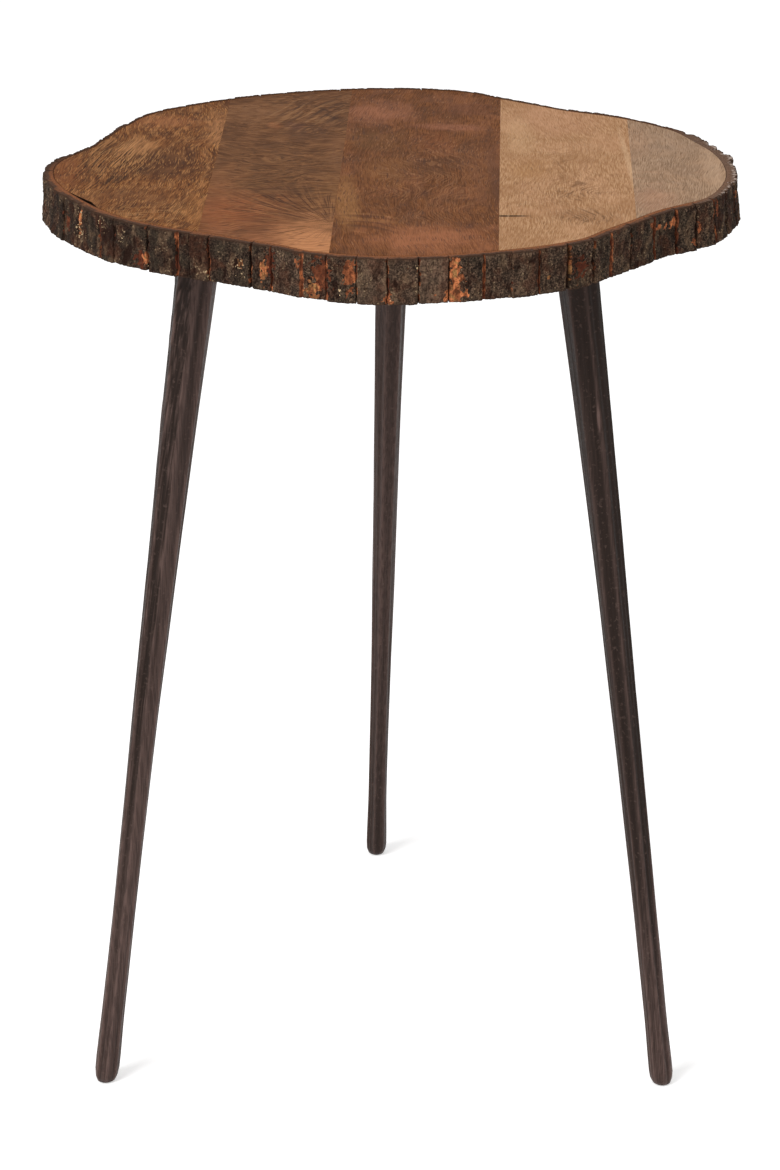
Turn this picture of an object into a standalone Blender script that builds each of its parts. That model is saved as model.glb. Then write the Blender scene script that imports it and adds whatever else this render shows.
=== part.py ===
"""Accent table: a free-form oval top of five glued planks, edged with kerfed bark, on three splayed cast legs.

Metres, +Z up, with the front towards -Y. The origin lies on the floor, under the middle of the table's box.
Everything is placed in the frame of one empty, which stands on the floor under the middle of the top.
"""
import math

import bmesh
import bpy
from mathutils import Vector

for old_object in list(bpy.data.objects):
    bpy.data.objects.remove(old_object, do_unlink=True)

# Driving dimensions of the whole table
TABLE_HEIGHT = 0.610
TOP_LENGTH = 0.4392        # along X, over the bark
TOP_DEPTH = 0.3554         # along Y, over the bark
TOP_THICKNESS = 0.0285
TOP_CENTRE_Y = -0.0216     # the back foot stands out behind the top, so the top sits forward of the origin
CLEARANCE = 0.0003         # gap kept between pieces that touch
EASED_EDGE_ANGLE = math.radians(60)

# How far the free-form edge stands out from a true oval: azimuth from +X in degrees, swell
EDGE_SWELL = (
    (0, 0.0), (12, -0.002), (24, -0.007), (36, -0.0135), (47, -0.0205), (55, -0.018), (64, -0.012),
    (73, -0.003), (90, 0.0), (106, -0.001), (134, -0.0015), (145, -0.002), (158, -0.0165), (164, -0.018),
    (170, -0.013), (178, -0.002), (185, 0.0015), (198, -0.004), (212, -0.0075), (222, -0.0125), (232, -0.016),
    (246, -0.0115), (253, -0.005), (270, 0.0), (290, -0.002), (309, -0.0045), (318, -0.0125), (331, -0.0165),
    (336, -0.012), (342, -0.003), (352, 0.0),
)
EDGE_SAMPLES = 1440

# Planks: the seams between them run front to back, all leaning to +X at the back; X is at the top's middle
LEFT_PLANK_WIDTH = 0.1066  # from the -X end of the top, over the bark, to the first seam
RIGHT_PLANK_WIDTH = 0.0666 # from the last seam to the +X end of the top, over the bark
INNER_SEAMS_X = (-0.032, 0.069)
SEAM_LEAN = math.radians(1.8)

# Dowels across the seams, at half the thickness of the top
DOWEL_DIAMETER = 0.008
DOWEL_LENGTH = 0.040
DOWEL_CHAMFER = 0.0008
DOWEL_SIDES = 12
DOWEL_ROWS_Y = {"front": -0.020, "back": 0.060}

# Bark: lengths of a few tiles each, sawn part of the way through between the tiles
BARK_THICKNESS = 0.007
BARK_LENGTHS = 22
TILES_PER_LENGTH = 3
STEPS_PER_TILE = 3
BARK_START = 0.0052        # along the edge, from the +X end to the first joint
KERF_WIDTH = 0.0012
KERF_DEPTH = 0.0045
TILE_WAVE = 2.4            # radians from one tile to the next, in the wave that sets how far each stands out
BARK_UNEVENNESS = 0.001    # from the tile that stands back most to the one that stands out most

# Legs: name, azimuth of the top in degrees, how far the top is set in from the edge, and azimuth of the foot
LEGS = (("left", 209.2, 0.063, 209.2), ("right", 327.6, 0.052, 329.8), ("back", 89.1, 0.0445, 91.9))
FOOT_CIRCLE_RADIUS = 0.2167
FOOT_CIRCLE_CENTRE = Vector((-0.0042, -0.0033))
FOOT_FLAT = 0.008          # width of the flat that stands on the floor
FOOT_WIDTH = 0.0147
FOOT_ROUND = 0.009         # height of the rounded end of the foot
ANKLE_WIDTH = 0.0138
ANKLE_HEIGHT = 0.050
TAPER_START = 0.115        # height above which the leg widens
TAPER_POWER = 1.4
LEG_TOP_WIDTH = 0.0244
LEG_DEPTH_RATIO = 1.07     # the section is deeper outwards than across
LEG_BOW = 0.0012           # outward bow at half height
LEG_TOP_FLARE = 0.002
LEG_FLARE_HEIGHT = 0.012
LEG_RIDGES = 7
LEG_RIDGE_HEIGHT = 0.0009
LEG_SIDES = 28
LEG_RINGS = 9
LEG_SHARP_ANGLE = math.radians(40)

# Steel plate under the top at each leg
PLATE_DIAMETER = 0.060
PLATE_THICKNESS = 0.005
PLATE_EDGE_BEVEL = 0.0006
PLATE_SIDES = 36

# Countersunk bolt from the plate down into the leg
BOLT_DIAMETER = 0.008
BOLT_HEAD_DIAMETER = 0.016
BOLT_HEAD_HEIGHT = 0.0043
BOLT_LENGTH = 0.026
BOLT_POINT_LENGTH = 0.001
BOLT_POINT_DIAMETER = 0.006

# Countersunk wood screws from the plate up into the planks
SCREWS_PER_PLATE = 3
SCREW_CIRCLE_RADIUS = 0.022
SCREW_DIAMETER = 0.0045
SCREW_HEAD_DIAMETER = 0.009
SCREW_HEAD_HEIGHT = 0.0027
SCREW_LENGTH = 0.022
SCREW_POINT_LENGTH = 0.005
SCREW_POINT_DIAMETER = 0.001
TURNED_SIDES = 12
HOLE_OVERRUN = 0.002       # how far a cutter runs past the face that it opens

# Heights that follow from the sizes above
top_underside = TABLE_HEIGHT - TOP_THICKNESS
plate_top = top_underside - CLEARANCE
plate_bottom = plate_top - PLATE_THICKNESS
leg_height = plate_bottom - CLEARANCE
dowel_height = top_underside + TOP_THICKNESS / 2

table = bpy.data.collections.new("accent_table")
cutters = bpy.data.collections.new("cutters")
plank_bores = bpy.data.collections.new("plank_bores")
bpy.context.scene.collection.children.link(table)
bpy.context.scene.collection.children.link(cutters)
cutters.children.link(plank_bores)

assembly = bpy.data.objects.new("table_frame", None)
assembly.location = (0, TOP_CENTRE_Y, 0)
table.objects.link(assembly)


def finish(name, colour, roughness, metallic):
    """A plain material with one colour, in linear values."""
    material = bpy.data.materials.new(name)
    material.use_nodes = True
    shader = material.node_tree.nodes["Principled BSDF"]
    shader.inputs["Base Color"].default_value = (*colour, 1)
    shader.inputs["Roughness"].default_value = roughness
    shader.inputs["Metallic"].default_value = metallic
    return material


PLANK_FINISHES = (
    finish("golden_brown_wood", (0.22, 0.10, 0.046), 0.45, 0),
    finish("umber_wood", (0.20, 0.092, 0.045), 0.45, 0),
    finish("red_brown_wood", (0.20, 0.086, 0.043), 0.45, 0),
    finish("pale_tan_wood", (0.41, 0.235, 0.128), 0.45, 0),
    finish("grey_tan_wood", (0.34, 0.22, 0.145), 0.45, 0),
)
BARK_FINISH = finish("bark", (0.095, 0.055, 0.036), 0.9, 0)
DOWEL_FINISH = finish("beech_dowel", (0.50, 0.34, 0.20), 0.6, 0)
LEG_FINISH = finish("dark_bronze_casting", (0.075, 0.053, 0.049), 0.5, 0.8)
STEEL_FINISH = finish("plain_steel", (0.35, 0.35, 0.35), 0.4, 1)


def add_piece(piece, material):
    """Put a finished piece in the table, standing in the table's frame."""
    piece.data.materials.clear()
    piece.data.materials.append(material)
    table.objects.link(piece)
    piece.parent = assembly
    return piece


def add_cutter(cutter, collection=cutters):
    """Put a shape that only cuts other pieces in its own collection."""
    cutter.hide_render = True
    cutter.display_type = "WIRE"
    collection.objects.link(cutter)
    cutter.parent = assembly
    return cutter


def cut(piece, name, operation="DIFFERENCE", cutter=None, collection=None):
    """Cut a piece with one shape, or with every shape of a collection."""
    boolean = piece.modifiers.new(name, "BOOLEAN")
    boolean.operation = operation
    boolean.solver = "EXACT"
    if collection:
        boolean.operand_type = "COLLECTION"
        boolean.collection = collection
    else:
        boolean.object = cutter


def flat_outline(name, points, low, high):
    """A flat outline in plan, filled and given thickness from one height to another."""
    curve = bpy.data.curves.new(name, "CURVE")
    curve.dimensions = "2D"
    curve.fill_mode = "BOTH"
    curve.extrude = (high - low) / 2
    spline = curve.splines.new("POLY")
    spline.points.add(len(points) - 1)
    spline.use_cyclic_u = True
    for place, point in zip(spline.points, points):
        place.co = (point.x, point.y, 0, 1)
    solid = bpy.data.objects.new(name, curve)
    solid.location.z = (low + high) / 2
    return solid


def turned(name, profile, sides):
    """A solid of revolution about Z. The profile of (radius, height) pairs runs from its top to its bottom."""
    mesh = bpy.data.meshes.new(name)
    steps = range(len(profile) - 1)
    mesh.from_pydata([(radius, 0, height) for radius, height in profile], [(i, i + 1) for i in steps], [])
    solid = bpy.data.objects.new(name, mesh)
    screw = solid.modifiers.new("turn", "SCREW")
    screw.steps = sides
    screw.render_steps = sides
    screw.use_merge_vertices = True
    screw.merge_threshold = 0.00001
    return solid


def round_bar(name, diameter, length, sides):
    """A straight round bar or disc along Z, centred on its own origin."""
    mesh = bpy.data.meshes.new(name)
    shape = bmesh.new()
    bmesh.ops.create_cone(
        shape, cap_ends=True, segments=sides, radius1=diameter / 2, radius2=diameter / 2, depth=length
    )
    shape.to_mesh(mesh)
    shape.free()
    return bpy.data.objects.new(name, mesh)


def bevel_ends(piece, width):
    """Ease the sharp end edges of a round piece, and leave its many sides alone."""
    bevel = piece.modifiers.new("eased_ends", "BEVEL")
    bevel.width = width
    bevel.segments = 1
    bevel.limit_method = "ANGLE"
    bevel.angle_limit = EASED_EDGE_ANGLE


# The edge of the top
def edge_swell(azimuth):
    """Smooth periodic curve through the swell of the edge."""
    count = len(EDGE_SWELL)
    start = max(i for i in range(count) if EDGE_SWELL[i][0] <= azimuth)

    def control(index):
        turns, place = divmod(index, count)
        return EDGE_SWELL[place][0] + 360 * turns, EDGE_SWELL[place][1]

    before, first, second, after = (control(start + step) for step in (-1, 0, 1, 2))
    span = second[0] - first[0]
    rise = second[1] - first[1]
    slope_in = (second[1] - before[1]) / (second[0] - before[0]) * span
    slope_out = (after[1] - first[1]) / (after[0] - first[0]) * span
    t = (azimuth - first[0]) / span
    cubic = slope_in + slope_out - 2 * rise
    square = 3 * rise - 2 * slope_in - slope_out
    return first[1] + t * (slope_in + t * (square + t * cubic))


def edge_corner(azimuth):
    """Point of the outer edge at an azimuth in degrees."""
    direction = Vector((math.cos(math.radians(azimuth)), math.sin(math.radians(azimuth))))
    oval = 1 / math.hypot(2 * direction.x / TOP_LENGTH, 2 * direction.y / TOP_DEPTH)
    return direction * (oval + edge_swell(azimuth))


edge = [edge_corner(360 * i / EDGE_SAMPLES) for i in range(EDGE_SAMPLES)]
edge_distance = [0.0]
for i in range(EDGE_SAMPLES):
    edge_distance.append(edge_distance[-1] + (edge[(i + 1) % EDGE_SAMPLES] - edge[i]).length)
edge_length = edge_distance[-1]


def edge_at(distance, inset):
    """Point at a distance along the outer edge, moved inwards by an inset."""
    distance %= edge_length
    low, high = 0, EDGE_SAMPLES
    while high - low > 1:
        middle = (low + high) // 2
        if edge_distance[middle] <= distance:
            low = middle
        else:
            high = middle
    share = (distance - edge_distance[low]) / (edge_distance[high] - edge_distance[low])
    here, there = edge[low], edge[high % EDGE_SAMPLES]
    ahead = (edge[(high + 1) % EDGE_SAMPLES] - here).lerp(there - edge[low - 1], 1 - share)
    outward = Vector((ahead.y, -ahead.x)).normalized()
    return here.lerp(there, share) - outward * inset


tile_count = BARK_LENGTHS * TILES_PER_LENGTH
tile_length = edge_length / tile_count
step_length = tile_length / STEPS_PER_TILE


# Planks: one slab with the outline of the top, sawn along the seams
plank_edge = [
    edge_at(BARK_START + step * step_length, BARK_THICKNESS + CLEARANCE)
    for step in range(tile_count * STEPS_PER_TILE)
]
slab = flat_outline("slab", plank_edge, top_underside, TABLE_HEIGHT)
cutters.objects.link(slab)
slab_mesh = bpy.data.meshes.new_from_object(slab.evaluated_get(bpy.context.evaluated_depsgraph_get()))
welded = bmesh.new()
welded.from_mesh(slab_mesh)
bmesh.ops.remove_doubles(welded, verts=welded.verts, dist=0.00001)
bmesh.ops.dissolve_limit(welded, angle_limit=0.001, verts=welded.verts, edges=welded.edges)
welded.to_mesh(slab_mesh)
welded.free()
slab_place = slab.location.copy()
bpy.data.objects.remove(slab, do_unlink=True)

seams_x = (LEFT_PLANK_WIDTH - TOP_LENGTH / 2, *INNER_SEAMS_X, TOP_LENGTH / 2 - RIGHT_PLANK_WIDTH)
plank_sides = (-TOP_LENGTH, *seams_x, TOP_LENGTH)
for number, plank_finish in enumerate(PLANK_FINISHES, start=1):
    left = plank_sides[number - 1] + CLEARANCE / 2
    right = plank_sides[number] - CLEARANCE / 2
    sawn = bpy.data.meshes.new(f"sawn_width_{number}")
    box = bmesh.new()
    bmesh.ops.create_cube(box, size=1)
    sawn_width = (right - left) * math.cos(SEAM_LEAN)
    bmesh.ops.scale(box, vec=(sawn_width, 2 * TOP_DEPTH, 2 * TOP_THICKNESS), verts=box.verts)
    box.to_mesh(sawn)
    box.free()
    saw = add_cutter(bpy.data.objects.new(f"sawn_width_{number}", sawn))
    saw.location = ((left + right) / 2, 0, slab_place.z)
    saw.rotation_euler.z = -SEAM_LEAN
    plank = add_piece(bpy.data.objects.new(f"plank_{number}", slab_mesh.copy()), plank_finish)
    plank.location = slab_place
    cut(plank, "sawn_sides", "INTERSECT", cutter=saw)
    cut(plank, "bores", collection=plank_bores)

# Dowels, two across each seam
for number, seam in enumerate(seams_x, start=1):
    for row, dowel_y in DOWEL_ROWS_Y.items():
        dowel = round_bar(f"dowel_{number}_{row}", DOWEL_DIAMETER, DOWEL_LENGTH, DOWEL_SIDES)
        add_piece(dowel, DOWEL_FINISH)
        bevel_ends(dowel, DOWEL_CHAMFER)
        bore_diameter = DOWEL_DIAMETER + 2 * CLEARANCE
        bore_length = DOWEL_LENGTH + 2 * CLEARANCE
        bore = round_bar(f"dowel_bore_{number}_{row}", bore_diameter, bore_length, DOWEL_SIDES)
        add_cutter(bore, plank_bores)
        for bar in (dowel, bore):
            bar.location = (seam + dowel_y * math.tan(SEAM_LEAN), dowel_y, dowel_height)
            bar.rotation_euler = (0, math.pi / 2, -SEAM_LEAN)

# Bark lengths round the planks, with a kerf between each tile and the next
for number in range(BARK_LENGTHS):
    start = BARK_START + number * TILES_PER_LENGTH * tile_length
    outer = []
    for tile in range(TILES_PER_LENGTH):
        gap_before = CLEARANCE if tile == 0 else KERF_WIDTH
        gap_after = CLEARANCE if tile == TILES_PER_LENGTH - 1 else KERF_WIDTH
        tile_from = start + tile * tile_length + gap_before / 2
        tile_to = start + (tile + 1) * tile_length - gap_after / 2
        inset = BARK_UNEVENNESS / 2 * math.sin(TILE_WAVE * (number * TILES_PER_LENGTH + tile))
        if tile > 0:
            outer.append(edge_at(tile_from, KERF_DEPTH))
        for step in range(STEPS_PER_TILE + 1):
            outer.append(edge_at(tile_from + (tile_to - tile_from) * step / STEPS_PER_TILE, inset))
        if tile < TILES_PER_LENGTH - 1:
            outer.append(edge_at(tile_to, KERF_DEPTH))
    steps = TILES_PER_LENGTH * STEPS_PER_TILE
    along = [start + step * step_length for step in range(steps + 1)]
    along[0] += CLEARANCE / 2
    along[-1] -= CLEARANCE / 2
    inner = [edge_at(distance, BARK_THICKNESS) for distance in along]
    bark = flat_outline(f"bark_{number + 1:02d}", outer + inner[::-1], top_underside, TABLE_HEIGHT)
    add_piece(bark, BARK_FINISH)


# Legs
def circle_point(centre, radius, azimuth):
    """Point of a circle in plan."""
    angle = math.radians(azimuth)
    return centre + radius * Vector((math.cos(angle), math.sin(angle)))


def leg_stations():
    """Heights and widths of the leg's rings, from the floor up."""
    stations = [(0.0, FOOT_FLAT)]
    for turn in (30, 60, 90):
        rise = 1 - math.cos(math.radians(turn))
        spread = math.sin(math.radians(turn))
        stations.append((FOOT_ROUND * rise, FOOT_FLAT + (FOOT_WIDTH - FOOT_FLAT) * spread))
    stations.append((2 * FOOT_ROUND, FOOT_WIDTH))
    stations.append((ANKLE_HEIGHT, ANKLE_WIDTH))
    taper_end = leg_height - LEG_FLARE_HEIGHT
    for ring in range(LEG_RINGS):
        share = ring / (LEG_RINGS - 1)
        width = ANKLE_WIDTH + (LEG_TOP_WIDTH - ANKLE_WIDTH) * share ** TAPER_POWER
        stations.append((TAPER_START + (taper_end - TAPER_START) * share, width))
    stations.append((leg_height, LEG_TOP_WIDTH + LEG_TOP_FLARE))
    return stations


def cast_leg(name, foot, top):
    """A leg lofted through level rings, so that its two ends are flat."""
    outward = (foot - top).normalized()
    across = Vector((-outward.y, outward.x))
    shape = bmesh.new()
    rings = []
    for height, width in leg_stations():
        share = height / leg_height
        centre = foot.lerp(top, share) + outward * LEG_BOW * 4 * share * (1 - share)
        ring = []
        for side in range(LEG_SIDES):
            angle = 2 * math.pi * side / LEG_SIDES
            ridge = LEG_RIDGE_HEIGHT / 2 * math.cos(LEG_RIDGES * angle) * width / LEG_TOP_WIDTH
            out = (width * LEG_DEPTH_RATIO / 2 + ridge) * math.cos(angle)
            aside = (width / 2 + ridge) * math.sin(angle)
            ring.append(shape.verts.new((*(centre + outward * out + across * aside), height)))
        rings.append(ring)
    for lower, upper in zip(rings, rings[1:]):
        for side in range(LEG_SIDES):
            following = (side + 1) % LEG_SIDES
            shape.faces.new((lower[side], lower[following], upper[following], upper[side]))
    shape.faces.new(rings[0][::-1])
    shape.faces.new(rings[-1])
    mesh = bpy.data.meshes.new(name)
    shape.to_mesh(mesh)
    shape.free()
    mesh.shade_smooth()
    mesh.set_sharp_from_angle(angle=LEG_SHARP_ANGLE)
    return bpy.data.objects.new(name, mesh)


# Fasteners: a piece and the hole that takes it are turned from one profile
def countersunk(name, head_size, shank_size, point_size, room, overrun):
    """A countersunk fastener, its head's face at its origin and its shank down, or the cutter for its hole.

    Each size is a diameter and a length. The shank's length runs from the face of the head to the tip.
    """
    head, shank, point = (size[0] / 2 + room for size in (head_size, shank_size, point_size))
    head_height = head_size[1]
    point_length = point_size[1]
    end = -shank_size[1] - room
    profile = [(0, overrun), (head, overrun)]
    if overrun:
        profile.append((head, 0))
    profile += [(shank, -head_height), (shank, end + point_length), (point, end), (0, end)]
    return turned(name, profile, TURNED_SIDES)


def bolt_shape(name, room=0.0, overrun=0.0):
    """The bolt that holds a leg, or the cutter for its hole."""
    head = (BOLT_HEAD_DIAMETER, BOLT_HEAD_HEIGHT)
    shank = (BOLT_DIAMETER, BOLT_LENGTH)
    point = (BOLT_POINT_DIAMETER, BOLT_POINT_LENGTH)
    return countersunk(name, head, shank, point, room, overrun)


def screw_shape(name, room=0.0, overrun=0.0):
    """The wood screw that holds a plate, or the cutter for its hole. It points up."""
    head = (SCREW_HEAD_DIAMETER, SCREW_HEAD_HEIGHT)
    shank = (SCREW_DIAMETER, SCREW_LENGTH)
    point = (SCREW_POINT_DIAMETER, SCREW_POINT_LENGTH)
    screw = countersunk(name, head, shank, point, room, overrun)
    screw.rotation_euler = (math.pi, 0, 0)
    return screw


# Each leg with its plate, its bolt and the plate's screws
for leg_name, top_azimuth, top_inset, foot_azimuth in LEGS:
    edge_above = edge_corner(top_azimuth)
    top = edge_above - edge_above.normalized() * top_inset
    foot = circle_point(FOOT_CIRCLE_CENTRE, FOOT_CIRCLE_RADIUS, foot_azimuth)

    bolt = add_piece(bolt_shape(f"leg_bolt_{leg_name}"), STEEL_FINISH)
    bolt.location = (*top, plate_top)
    bolt_hole = add_cutter(bolt_shape(f"bolt_hole_{leg_name}", CLEARANCE, HOLE_OVERRUN))
    bolt_hole.location = bolt.location

    leg = add_piece(cast_leg(f"leg_{leg_name}", foot, top), LEG_FINISH)
    cut(leg, "tapped_hole", cutter=bolt_hole)

    plate = round_bar(f"leg_plate_{leg_name}", PLATE_DIAMETER, PLATE_THICKNESS, PLATE_SIDES)
    add_piece(plate, STEEL_FINISH)
    plate.location = (*top, (plate_top + plate_bottom) / 2)
    bevel_ends(plate, PLATE_EDGE_BEVEL)
    cut(plate, "bolt_hole", cutter=bolt_hole)

    for number in range(SCREWS_PER_PLATE):
        place = circle_point(top, SCREW_CIRCLE_RADIUS, 360 * number / SCREWS_PER_PLATE)
        screw = add_piece(screw_shape(f"plate_screw_{leg_name}_{number + 1}"), STEEL_FINISH)
        screw.location = (*place, plate_bottom)
        hole = screw_shape(f"screw_hole_{leg_name}_{number + 1}", CLEARANCE, HOLE_OVERRUN)
        add_cutter(hole, plank_bores)
        hole.location = screw.location
        cut(plate, f"screw_hole_{number + 1}", cutter=hole)
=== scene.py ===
"""A small three-legged accent table: a glued board top edged with tree bark, on splayed cast legs.

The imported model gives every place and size. Each section below makes one kind of piece, in the order in
which the table is put together, and the studio comes last. Lengths are in metres.
"""

import bisect
import math
import random

import bpy
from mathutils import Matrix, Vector, kdtree, noise


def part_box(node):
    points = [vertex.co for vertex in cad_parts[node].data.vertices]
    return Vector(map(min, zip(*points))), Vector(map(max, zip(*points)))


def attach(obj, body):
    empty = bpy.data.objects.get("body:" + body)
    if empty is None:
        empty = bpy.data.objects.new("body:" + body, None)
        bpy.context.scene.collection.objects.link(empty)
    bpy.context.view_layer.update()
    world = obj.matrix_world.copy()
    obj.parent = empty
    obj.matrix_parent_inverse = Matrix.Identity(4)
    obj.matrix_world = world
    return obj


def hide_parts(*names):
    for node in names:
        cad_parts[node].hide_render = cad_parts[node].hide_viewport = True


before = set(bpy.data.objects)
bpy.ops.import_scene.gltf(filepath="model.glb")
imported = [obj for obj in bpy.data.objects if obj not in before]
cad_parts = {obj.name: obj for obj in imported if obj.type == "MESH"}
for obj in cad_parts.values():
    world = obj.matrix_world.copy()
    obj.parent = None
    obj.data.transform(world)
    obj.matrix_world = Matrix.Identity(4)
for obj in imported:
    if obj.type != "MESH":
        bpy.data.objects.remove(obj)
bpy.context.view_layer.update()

# The five boards of the top: mango-like hardwood, planed, glued edge to edge along seams that run from front
# to back, sawn to one free-form oval and sanded flush. A thin satin lacquer leaves the pores open.
BOARD_COUNT = 5
EDGE_STEP = 0.0008
EASED_EDGE = 0.0004

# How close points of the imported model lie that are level, that are one corner, or that meet at a seam.
LEVEL_GAP = 0.0001
CORNER_GAP = 0.0025
SEAM_GAP = 0.0006


def top_corners(node_name):
    """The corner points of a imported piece's upper face, seen from above."""
    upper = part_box(node_name)[1].z
    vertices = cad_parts[node_name].data.vertices
    return [vertex.co.xy for vertex in vertices if vertex.co.z > upper - LEVEL_GAP]


def board_edge():
    """The sawn outline of the whole top, counterclockwise from its right end."""
    corners = []
    for number in range(1, BOARD_COUNT + 1):
        corners.extend(top_corners(f"plank_{number}"))
    middle = sum(corners, Vector((0.0, 0.0))) / len(corners)
    corners.sort(key=lambda corner: math.atan2(corner.y - middle.y, corner.x - middle.x) % math.tau)
    spaced = [corners[0]]
    for corner in corners[1:]:
        if (corner - spaced[-1]).length > CORNER_GAP:
            spaced.append(corner)
    if (spaced[0] - spaced[-1]).length < CORNER_GAP:
        spaced.pop()
    line = []
    for index in range(len(spaced)):
        before, start, end, after = (spaced[(index + step) % len(spaced)] for step in (-1, 0, 1, 2))
        cuts = max(1, round((end - start).length / EDGE_STEP))
        bend = 2 * before - 5 * start + 4 * end - after
        twist = 3 * start - before - 3 * end + after
        for cut in range(cuts):
            share = cut / cuts
            line.append(start + 0.5 * (share * (end - before) + share * share * bend + share ** 3 * twist))
    return line


# The way outwards at a point of the edge is square to the line between the points some steps to either side.
OUTWARD_STEPS = 3
edge_line = board_edge()
edge_outward = []
for index in range(len(edge_line)):
    along = edge_line[(index + OUTWARD_STEPS) % len(edge_line)] - edge_line[index - OUTWARD_STEPS]
    edge_outward.append(Vector((along.y, -along.x)).normalized())


def seam_ends(number):
    """The front and back ends of the seam between a board and the next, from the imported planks' corners."""
    meetings = []
    beyond = top_corners(f"plank_{number + 1}")
    for corner in top_corners(f"plank_{number}"):
        meetings.extend((corner + other) / 2 for other in beyond if (corner - other).length < SEAM_GAP)
    meetings.sort(key=lambda meeting: meeting.y)
    return meetings[0], meetings[-1]


def board_outline(number):
    """The part of the top's outline between a board's seams, as points with the way outwards at each."""
    outline = list(zip(edge_line, edge_outward))
    sides = []
    if number > 1:
        sides.append((*seam_ends(number - 1), -1.0))
    if number < BOARD_COUNT:
        sides.append((*seam_ends(number), 1.0))
    for front, back, side in sides:
        run = (back - front).normalized()
        kept = []
        for index, (point, outward) in enumerate(outline):
            earlier = outline[index - 1][0]
            depth = run.cross(point - front) * side
            depth_before = run.cross(earlier - front) * side
            if (depth >= 0) != (depth_before >= 0):
                crossing = earlier.lerp(point, depth_before / (depth_before - depth))
                kept.append((crossing, run * math.copysign(1.0, outward.y)))
            if depth >= 0:
                kept.append((point, outward))
        outline = kept
    return outline


# The bark has come away from the end grain over a short stretch at the left end, most of all at its front.
OPEN_JOINT_PLACE = Vector((-0.1877, -0.0921))
OPEN_JOINT_BACK = 0.024
OPEN_JOINT_FRONT = 0.011
OPEN_JOINT_WIDTH = 0.0025
OPEN_JOINT_DEPTH = 0.010


def ease(value, start, end):
    """0 before start, 1 after end, smooth between."""
    share = min(max((value - start) / (end - start), 0.0), 1.0)
    return share * share * (3 - 2 * share)


# Along the back, up to the right end, the bark is thin, so the boards reach further out under it. They swell
# at one place on the left.
BACK_REACH = 0.0046
BACK_START = (-0.045, 0.0)
RIGHT_END_START = (0.180, 0.200)
SWELL_PLACE = Vector((-0.180, 0.048))
SWELL_RADIUS = 0.031
SWELL_HEIGHT = 0.0030
BLUNT_TOP = 0.6


def board_reach(point):
    """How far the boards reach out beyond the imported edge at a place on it."""
    swell = SWELL_HEIGHT * ease(1 - (point - SWELL_PLACE).length / SWELL_RADIUS, 0.0, BLUNT_TOP)
    return BACK_REACH * ease(point.y, *BACK_START) * (1 - ease(point.x, *RIGHT_END_START)) + swell


def wall_faces(rings, count):
    """The faces between each ring of points and the next, with the same count of points in every ring."""
    faces = []
    for ring in range(rings - 1):
        for index in range(count):
            here, beside = ring * count + index, ring * count + (index + 1) % count
            faces.append((here, beside, beside + count, here + count))
    return faces


def tube_faces(rings, count):
    """The faces round and over both ends of such a stack of rings, from the lowest to the highest."""
    last = (rings - 1) * count
    ends = [tuple(reversed(range(count))), tuple(range(last, last + count))]
    return ends + wall_faces(rings, count)


def add_object(name, data):
    """A new object in the scene."""
    added = bpy.data.objects.new(name, data)
    bpy.context.scene.collection.objects.link(added)
    return added


def add_piece(name, points, faces, node_names, material, marks):
    """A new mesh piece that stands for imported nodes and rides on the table; its finish reads the marks."""
    mesh = bpy.data.meshes.new(name)
    mesh.from_pydata(points, [], faces)
    mesh.validate()
    piece = add_object(name, mesh)
    mesh.materials.append(material)
    for mark_name, values in marks.items():
        mesh.attributes.new(mark_name, "FLOAT", "POINT").data.foreach_set("value", values)
    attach(piece, "root")
    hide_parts(*node_names)
    return piece


def board_shape(number):
    """One board's points and faces, and whether each point lies on the walls of the open joint, painted dark
    as shade: its sawn ends are eased and its glued sides meet the next boards."""
    low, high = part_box(f"plank_{number}")
    outline = board_outline(number)
    eased = EASED_EDGE * 0.3
    rings = (
        (high.z - low.z, 0.0, 0.0),
        (OPEN_JOINT_DEPTH, 0.0, 0.0),
        (OPEN_JOINT_DEPTH, 0.0, OPEN_JOINT_WIDTH),
        (EASED_EDGE, 0.0, OPEN_JOINT_WIDTH),
        (eased, eased, OPEN_JOINT_WIDTH),
        (0.0, EASED_EDGE, OPEN_JOINT_WIDTH),
    )
    points, joint_shade = [], []
    for drop, inset, joint_width in rings:
        for point, outward in outline:
            joint_length = OPEN_JOINT_BACK if point.y > OPEN_JOINT_PLACE.y else OPEN_JOINT_FRONT
            from_joint = (point - OPEN_JOINT_PLACE).length / joint_length
            opening = joint_width * max(0.0, 1 - from_joint)
            inner = point + outward * (board_reach(point) - inset - opening)
            points.append((inner.x, inner.y, high.z - drop))
            joint_shade.append(1.0 if drop > 0.0 and from_joint < 1.0 else 0.0)
    return points, tube_faces(len(rings), len(outline)), joint_shade


def linear(red, green, blue):
    """A colour given on a 0 to 255 scale, as the shaders take it."""
    values = []
    for value in (red, green, blue):
        share = value / 255
        values.append(share / 12.92 if share < 0.04045 else ((share + 0.055) / 1.055) ** 2.4)
    return (*values, 1.0)


def set_sockets(tree, node, sockets):
    """Plain values put into a node's sockets, and other nodes' outputs linked to them."""
    for name, value in sockets.items():
        if isinstance(value, bpy.types.NodeSocket):
            tree.links.new(value, node.inputs[name])
        else:
            node.inputs[name].default_value = value


def add_node(tree, kind, settings, sockets):
    """A shader node with its settings and sockets."""
    node = tree.nodes.new("ShaderNode" + kind)
    for name, value in settings.items():
        setattr(node, name, value)
    set_sockets(tree, node, sockets)
    return node


def add_math(tree, operation, *values):
    """A sum on plain values and outputs."""
    return add_node(tree, "Math", {"operation": operation}, dict(enumerate(values))).outputs[0]


def product(tree, first, second):
    """Two values multiplied."""
    return add_math(tree, "MULTIPLY", first, second)


def add_vector(tree, operation, *values):
    """A sum on places and directions."""
    return add_node(tree, "VectorMath", {"operation": operation}, dict(enumerate(values))).outputs[0]


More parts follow.
